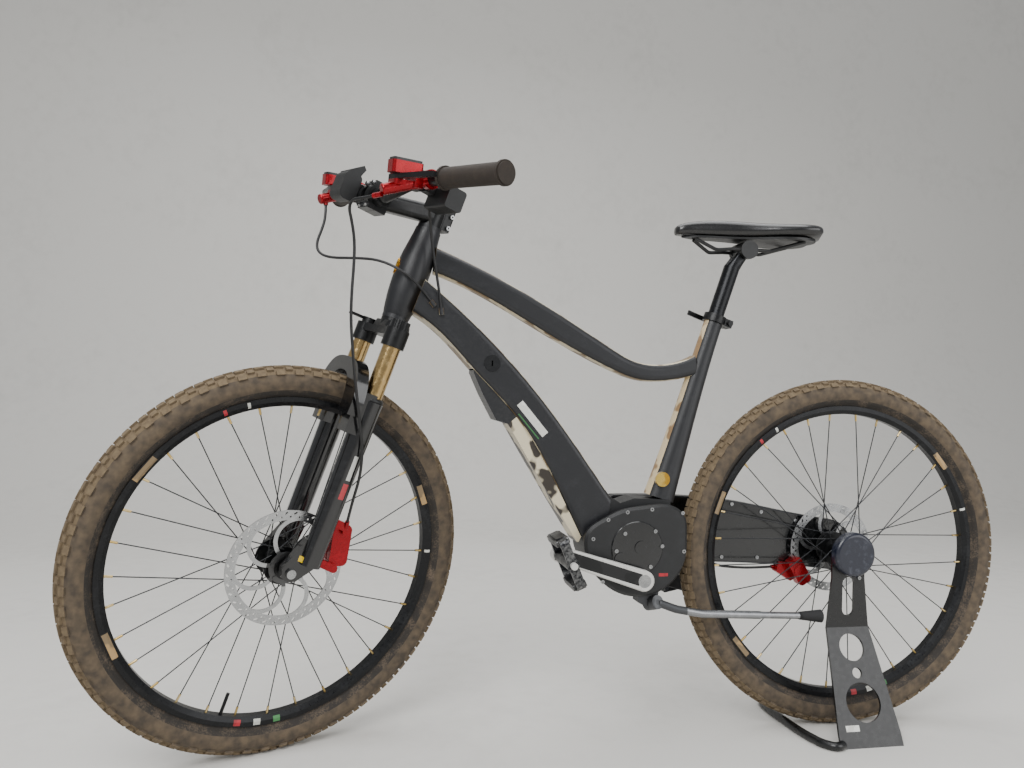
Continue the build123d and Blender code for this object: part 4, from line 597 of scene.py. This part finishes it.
# ---------------------------------------------------------------- repeated parts
@dataclass(frozen=True)
class NodeSocketSpec:
    """Named input of a geometry group."""

    name: str
    kind: str
    value: float | int


class RingOfBlocks:
    """Geometry group that adds a row of rubber blocks round a tyre."""

    INPUTS = (
        NodeSocketSpec("Count", "NodeSocketInt", 60),
        NodeSocketSpec("Core radius", "NodeSocketFloat", 0.318),
        NodeSocketSpec("Section radius", "NodeSocketFloat", 0.025),
        NodeSocketSpec("Across", "NodeSocketFloat", 0.0),
        NodeSocketSpec("Phase", "NodeSocketFloat", 0.0),
        NodeSocketSpec("Length", "NodeSocketFloat", 0.012),
        NodeSocketSpec("Width", "NodeSocketFloat", 0.009),
        NodeSocketSpec("Height", "NodeSocketFloat", 0.006),
    )

    def __init__(self, material: bpy.types.Material) -> None:
        """Builds the group with the material that its blocks take."""
        self.tree = bpy.data.node_groups.new("Ring of blocks", "GeometryNodeTree")
        face = self.tree.interface
        face.new_socket("Geometry", in_out="INPUT", socket_type="NodeSocketGeometry")
        self.sockets = {}
        for spec in self.INPUTS:
            socket = face.new_socket(spec.name, in_out="INPUT", socket_type=spec.kind)
            socket.default_value = spec.value
            self.sockets[spec.name] = socket.identifier
        face.new_socket("Geometry", in_out="OUTPUT", socket_type="NodeSocketGeometry")
        self.wire(material)

    def math(self, operation: str, *values) -> bpy.types.NodeSocket:
        """Adds a math node on values or sockets."""
        return put(self.tree, "ShaderNodeMath", dict(enumerate(values)), operation=operation).outputs[0]

    def vector(self, x, y, z) -> bpy.types.NodeSocket:
        """Adds a vector of three values or sockets."""
        return put(self.tree, "ShaderNodeCombineXYZ", {0: x, 1: y, 2: z}).outputs[0]

    def wire(self, material: bpy.types.Material) -> None:
        """Links the nodes: points on the ring, a block on each, then the material."""
        tree, math_ = self.tree, self.math
        given = put(tree, "NodeGroupInput").outputs
        index = put(tree, "GeometryNodeInputIndex").outputs[0]
        turn = math_("MULTIPLY_ADD", math_("DIVIDE", index, given["Count"]), math.tau, given["Phase"])
        cos_turn, sin_turn = math_("COSINE", turn), math_("SINE", turn)
        cos_across, sin_across = math_("COSINE", given["Across"]), math_("SINE", given["Across"])
        radius = math_("MULTIPLY_ADD", given["Section radius"], cos_across, given["Core radius"])
        position = self.vector(
            math_("MULTIPLY", radius, cos_turn),
            math_("MULTIPLY", given["Section radius"], sin_across),
            math_("MULTIPLY", radius, sin_turn),
        )
        outward = self.vector(
            math_("MULTIPLY", cos_across, cos_turn), sin_across, math_("MULTIPLY", cos_across, sin_turn)
        )
        around = self.vector(math_("MULTIPLY", sin_turn, -1.0), 0.0, cos_turn)
        points = put(tree, "GeometryNodePoints", {"Count": given["Count"], "Position": position}).outputs[0]
        upright = put(tree, "FunctionNodeAlignRotationToVector", {"Vector": outward}, axis="Z").outputs[0]
        along = put(
            tree, "FunctionNodeAlignRotationToVector", {"Rotation": upright, "Vector": around},
            axis="X", pivot_axis="Z",
        ).outputs[0]
        block = put(
            tree, "GeometryNodeMeshCube",
            {"Size": self.vector(given["Length"], given["Width"], given["Height"])},
        ).outputs[0]
        placed = put(
            tree, "GeometryNodeInstanceOnPoints", {"Points": points, "Instance": block, "Rotation": along}
        ).outputs[0]
        solid = put(tree, "GeometryNodeRealizeInstances", {0: placed}).outputs[0]
        joined = put(tree, "GeometryNodeJoinGeometry")
        tree.links.new(solid, joined.inputs[0])
        tree.links.new(given["Geometry"], joined.inputs[0])
        painted = put(
            tree, "GeometryNodeSetMaterial", {"Geometry": joined.outputs[0], "Material": material}
        ).outputs[0]
        put(tree, "NodeGroupOutput", {0: painted})

    def add_row(self, piece: bpy.types.Object, values: dict[str, float | int]) -> None:
        """Adds one row of blocks to a piece as a modifier."""
        modifier = piece.modifiers.new("row", "NODES")
        modifier.node_group = self.tree
        for name, value in values.items():
            modifier[self.sockets[name]] = value


@dataclass(frozen=True)
class TreadRow:
    """One row of blocks and, mirrored, its fellow on the other side."""

    across_deg: float
    length_mm: float
    width_mm: float
    phase: float


@dataclass
class Tyre:
    """Knobbly tyre: a round casing whose beads sit in the rim, and its tread."""

    node: str
    body: str
    axes: Axes
    radius_mm: float = 346.0
    section_mm: float = 27.7
    block_mm: float = 4.2
    bead_mm: float = 289.0
    bead_half_mm: float = 10.2
    blocks: int = 66
    rows: tuple[TreadRow, ...] = (
        TreadRow(9, 15, 8, 0.0),
        TreadRow(27, 11, 8, 0.5),
        TreadRow(48, 14, 9, 0.0),
    )

    @property
    def casing_mm(self) -> float:
        """Outer radius of the casing's section, under the tread."""
        return self.section_mm - self.block_mm + 0.6

    def section(self) -> list[tuple[float, float]]:
        """Casing outline as left-right position and radius."""
        core = self.radius_mm - self.section_mm
        start = math.asin(self.bead_half_mm / self.casing_mm)
        steps = 30
        points = []
        for step in range(steps + 1):
            turn = start + (math.tau - 2 * start) * step / steps
            points.append((self.casing_mm * math.sin(turn), core - self.casing_mm * math.cos(turn)))
        thin = self.bead_half_mm - 3
        return points + [(-self.bead_half_mm, self.bead_mm), (-thin, self.bead_mm), (0, self.bead_mm + 6),
                         (thin, self.bead_mm), (self.bead_half_mm, self.bead_mm)]

    def finish(self) -> Finish:
        """Rubber with dried mud over the tread, thinner towards the rim."""
        tread = wheel_masks(self.axes, Area.OUTSIDE, 333)
        wall = wheel_masks(self.axes, Area.OUTSIDE, 306)
        return replace(
            FINISHES["tyre"], name=f"{self.body} tyre rubber",
            patches=(
                Patch(wall, "#40382f", "#5e5140", 0.88, 0.0, 14, spread=0.2),
                Patch(tread, "#5d4f3d", "#6f6049", 0.92, 0.0, 7, spread=0.2),
            ),
        )

    def build(self, group: RingOfBlocks) -> bpy.types.Object:
        """Makes the tyre and puts it in place of its CAD node."""
        around = 132
        rings = [
            [
                Vector((radius * math.cos(turn), side, radius * math.sin(turn))) * MM
                for side, radius in self.section()
            ]
            for turn in (math.tau * step / around for step in range(around))
        ]
        work = bpy.data.objects.new("work", lofted("casing", rings, closed=True))
        bpy.context.scene.collection.objects.link(work)
        core = (self.radius_mm - self.section_mm) * MM
        for row in self.rows:
            for hand in (1, -1):
                group.add_row(work, {
                    "Count": self.blocks, "Core radius": core,
                    "Section radius": (self.section_mm - self.block_mm / 2) * MM,
                    "Across": hand * math.radians(row.across_deg),
                    "Phase": (row.phase + (0.5 if hand > 0 else 0.0)) * math.tau / self.blocks,
                    "Length": row.length_mm * MM, "Width": row.width_mm * MM,
                    "Height": self.block_mm * MM,
                })
        mesh = baked(work)
        mesh.transform(self.axes.matrix())
        piece = new_piece(f"{self.body}.tread", mesh, self.body, self.finish())
        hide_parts(self.node)
        return piece


# ---------------------------------------------------------------- saddle
@dataclass(frozen=True)
class SaddleStation:
    """One cross-section of the saddle: place along it, half width, crown and edge heights."""

    x: float
    half: float
    crown: float
    edge: float


@dataclass
class Saddle:
    """Padded cover with a rounded edge over the saddle's shell."""

    floor_mm: float = 965.5
    stations: tuple[SaddleStation, ...] = (
        SaddleStation(371, 6, 978, 970), SaddleStation(366, 14, 984, 971), SaddleStation(350, 18, 990, 972),
        SaddleStation(320, 20, 995, 972), SaddleStation(280, 24, 998, 972), SaddleStation(240, 32, 998, 972),
        SaddleStation(205, 45, 996, 972), SaddleStation(170, 60, 995, 973), SaddleStation(140, 70, 995, 974),
        SaddleStation(112, 72, 995, 976), SaddleStation(94, 66, 993, 977), SaddleStation(84, 50, 989, 977),
        SaddleStation(80, 28, 984, 975),
    )

    def ring(self, station: SaddleStation) -> list[Vector]:
        """Closed cross-section, over the top and back underneath."""
        over = 22
        points = []
        for step in range(over + 1):
            turn = math.pi * step / over
            side = math.copysign(abs(math.cos(turn)) ** 0.75, math.cos(turn))
            lift = math.sin(turn) ** 0.62
            groove = 1.6 * math.exp(-((side * station.half / 7) ** 2)) if station.half > 22 else 0.0
            height = station.edge + (station.crown - station.edge) * lift - groove
            points.append(Vector((station.x, side * station.half, height)) * MM)
        under = 8
        for step in range(1, under):
            side = -1 + 2 * step / under
            points.append(Vector((station.x, side * (station.half - 3), self.floor_mm)) * MM)
        return points

    def smooth_stations(self) -> list[SaddleStation]:
        """Stations with smooth ones between them."""
        made = []
        for i in range(len(self.stations) - 1):
            around = [self.stations[max(0, min(len(self.stations) - 1, i + k))] for k in (-1, 0, 1, 2)]
            for step in range(4):
                t = step / 4
                weights = (
                    -0.5 * t + t * t - 0.5 * t**3, 1 - 2.5 * t * t + 1.5 * t**3,
                    0.5 * t + 2 * t * t - 1.5 * t**3, -0.5 * t * t + 0.5 * t**3,
                )
                made.append(SaddleStation(*(
                    sum(w * getattr(s, name) for w, s in zip(weights, around))
                    for name in ("x", "half", "crown", "edge")
                )))
        return made + [self.stations[-1]]

    def build(self) -> bpy.types.Object:
        """Makes the cover in place of the CAD cushion."""
        mesh = lofted("saddle cover", [self.ring(station) for station in self.smooth_stations()])
        piece = new_piece("saddle_cover", mesh, "saddle", FINISHES["saddle_cover"])
        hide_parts("saddle_cushion")
        return piece


# ---------------------------------------------------------------- hoses
class Carrier(Enum):
    """Bodies at the two ends of a hose."""

    BAR_TO_FRAME = ("steering", "frame")
    BAR_TO_FORK = ("steering", "lowers")
    FRAME = ("frame", "frame")


@dataclass
class Hose:
    """Brake hose or cable held at both ends."""

    name: str
    carrier: Carrier
    node: str
    route: list[Vector]
    diameter_mm: float = 5.0

    def curve(self, bevel: float) -> bpy.types.Curve:
        """Smooth curve through the route's control points."""
        data = bpy.data.curves.new(self.name, "CURVE")
        data.dimensions = "3D"
        data.bevel_depth = bevel
        data.bevel_resolution = 4
        data.use_fill_caps = True
        spline = data.splines.new("NURBS")
        spline.points.add(len(self.route) - 1)
        for point, place in zip(spline.points, self.route):
            point.co = (*place, 1.0)
        spline.order_u = 3
        spline.use_endpoint_u = True
        spline.resolution_u = 10
        return data

    def mesh_of(self, bevel: float) -> bpy.types.Mesh:
        """Mesh of the curve, with or without its thickness."""
        work = bpy.data.objects.new("work", self.curve(bevel))
        bpy.context.scene.collection.objects.link(work)
        return baked(work)

    def build(self) -> bpy.types.Object:
        """Makes the hose; one that runs between two bodies is baked in place and given no body."""
        path = [vertex.co.copy() for vertex in self.mesh_of(0.0).vertices]
        start_body, end_body = self.carrier.value
        mesh = self.mesh_of(self.diameter_mm * MM / 2)
        for polygon in mesh.polygons:
            polygon.use_smooth = True
        stays = start_body if start_body == end_body else None
        piece = new_piece(self.name, mesh, stays, FINISHES["hose"])
        if stays is None:
            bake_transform(piece)
        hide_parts(self.node)
        return piece


def row_points(*points: Point) -> list[Vector]:
    """Points given in millimetres in the row frame."""
    return [ROW.at(*point) for point in points]


def fork_points(*points: Point) -> list[Vector]:
    """Points given in millimetres along the turned fork's axes."""
    return [FORK.at(*point) for point in points]


HOSES = (
    Hose("front_brake_line", Carrier.BAR_TO_FORK, "front_brake_hose", fork_points(
        (169, 129, 627), (178, 108, 620), (184, 86, 616), (179, 69, 605), (164, 64, 588), (148, 66, 560),
        (136, 71, 522), (124, 76, 476), (109, 81, 430), (88, 88, 382), (64, 94, 330), (37, 96, 280),
        (11, 93, 234), (-4, 88, 190), (-13, 75, 144), (-24, 62, 108),
    )),
    Hose("rear_brake_line", Carrier.BAR_TO_FRAME, "frame_hoses", row_points(
        (1040, -70.5, 993), (1039.5, -68, 971), (1045, -60, 946), (1054, -50, 919), (1051, -42, 899),
        (1030, -29, 888), (985, -2, 886), (945, 22, 882), (910, 40, 867), (872, 44, 840),
        (848, 38.5, 810),
    )),
    Hose("display_cable", Carrier.BAR_TO_FRAME, "frame_hoses", fork_points((70, 100, 684)) + row_points(
        (860, 85, 969), (854, 57, 943), (848, 44, 905), (840, 40.5, 862), (833, 40, 824),
        (829.5, 38.5, 798),
    )),
    Hose("rear_caliper_line", Carrier.FRAME, "frame_hoses", row_points(
        (268, -61, 320), (246, -59.5, 307), (206, -57, 302.5), (160, -55, 301), (122, -54, 303),
    )),
)


# ---------------------------------------------------------------- fork seals
@dataclass
class ForkSeal:
    """Wiper seal on top of a lower fork leg."""

    name: str
    hand: int
    leg_x_mm: float = 16.0
    leg_y_mm: float = 65.0
    foot_mm: float = 318.0
    height_mm: float = 8.0
    inner_mm: float = 16.2
    outer_mm: float = 21.0
    steps: int = 48

    def build(self) -> bpy.types.Object:
        """Turns the seal's section round the leg and lets it ride on the lowers."""
        section = (
            (self.inner_mm, 0), (self.outer_mm, 0), (self.outer_mm, self.height_mm * 0.5),
            (self.outer_mm - 2, self.height_mm * 0.7), (self.inner_mm + 1.2, self.height_mm),
            (self.inner_mm, self.height_mm),
        )
        rings = []
        for step in range(self.steps):
            turn = math.tau * step / self.steps
            out = Vector((math.cos(turn), math.sin(turn), 0))
            rings.append([(out * radius + Vector((0, 0, lift))) * MM for radius, lift in section])
        mesh = lofted(self.name, rings, closed=True)
        foot = Vector((self.leg_x_mm, self.hand * self.leg_y_mm, self.foot_mm)) * MM
        mesh.transform(FORK.matrix() @ Matrix.Translation(foot))
        return new_piece(self.name, mesh, "lowers", FINISHES["hose"])


# ---------------------------------------------------------------- studio
@dataclass
class Studio:
    """Pale floor, soft lights and the camera."""

    camera_at: Point = (0.9848, 1.5018, 0.649)
    camera_turn_deg: Point = (90.62, -1.44, 168.82)
    lens_mm: float = 28.7
    sensor_mm: float = 36.0
    floor_size: float = 14.0

    def light(self, name: str, place: Point, target: Point, size: float, power: float) -> None:
        """Square soft light aimed at a point."""
        data = bpy.data.lights.new(name, "AREA")
        data.size = size
        data.energy = power
        lamp = bpy.data.objects.new(name, data)
        lamp.location = place
        aim = Vector(target) - Vector(place)
        lamp.rotation_mode = "QUATERNION"
        lamp.rotation_quaternion = aim.to_track_quat("-Z", "Y")
        bpy.context.scene.collection.objects.link(lamp)
        lamp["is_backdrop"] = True

    def build(self) -> None:
        """Adds floor, backdrop, lights, world and camera."""
        half = self.floor_size / 2
        rise = 5.0
        profile = [(half, 0.0)] + [
            (-2.2 - 1.6 * math.sin(t), 1.6 - 1.6 * math.cos(t))
            for t in (math.radians(10 * k) for k in range(10))
        ] + [(-3.8, rise)]
        mesh = bpy.data.meshes.new("floor")
        vertices = [(x, y, z) for y, z in profile for x in (-half, half)]
        faces = [(2 * i, 2 * i + 1, 2 * i + 3, 2 * i + 2) for i in range(len(profile) - 1)]
        mesh.from_pydata(vertices, [], faces)
        for polygon in mesh.polygons:
            polygon.use_smooth = True
        mesh.materials.append(Finish("pale floor", "#cfcdc8", "#c6c4bf", 0.6, grain_mm=60).build())
        floor = bpy.data.objects.new("floor", mesh)
        bpy.context.scene.collection.objects.link(floor)
        floor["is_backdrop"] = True
        middle = (0.55, 0.0, 0.5)
        self.light("key", (2.2, 2.6, 3.0), middle, 2.4, 150)
        self.light("fill", (-2.0, 2.4, 1.6), middle, 2.6, 60)
        self.light("top", (0.5, -0.4, 3.4), middle, 3.0, 90)
        world = bpy.data.worlds.new("studio")
        bpy.context.scene.world = world
        world.use_nodes = True
        background = world.node_tree.nodes["Background"]
        background.inputs[0].default_value = linear("#e9ebee")
        background.inputs[1].default_value = 0.55
        data = bpy.data.cameras.new("camera")
        data.lens = self.lens_mm
        data.sensor_width = self.sensor_mm
        data.dof.use_dof = False
        camera = bpy.data.objects.new("camera", data)
        camera.location = self.camera_at
        camera.rotation_euler = [math.radians(turn) for turn in self.camera_turn_deg]
        bpy.context.scene.collection.objects.link(camera)
        bpy.context.scene.camera = camera


def report_size(first: tuple[Vector, Vector]) -> None:
    """Logs how far apart the CAD bounds and the visual bounds are, corner by corner."""
    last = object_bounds()
    for old, new in zip(first, last):
        LOG.info("corner moved by %s mm", [round((b - a) * 1000, 1) for a, b in zip(old, new)])


def main() -> None:
    """Builds every piece in order."""
    logging.basicConfig(level=logging.INFO, format="%(message)s")
    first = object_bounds()
    PALETTE.dress_frame()
    tread = RingOfBlocks(PALETTE.get(FINISHES["tyre"]))
    Tyre("front_tyre", "front_wheel", FRONT).build(tread)
    Tyre("rear_tyre", "rear_wheel", REAR).build(tread)
    LOG.info("tyres made")
    Saddle().build()
    for hose in HOSES:
        hose.build()
    LOG.info("hoses made")
    for hand, side in ((1, "L"), (-1, "R")):
        ForkSeal(f"fork_seal{side}", hand).build()
    Studio().build()
    report_size(first)


if __name__ == "__main__":
    main()
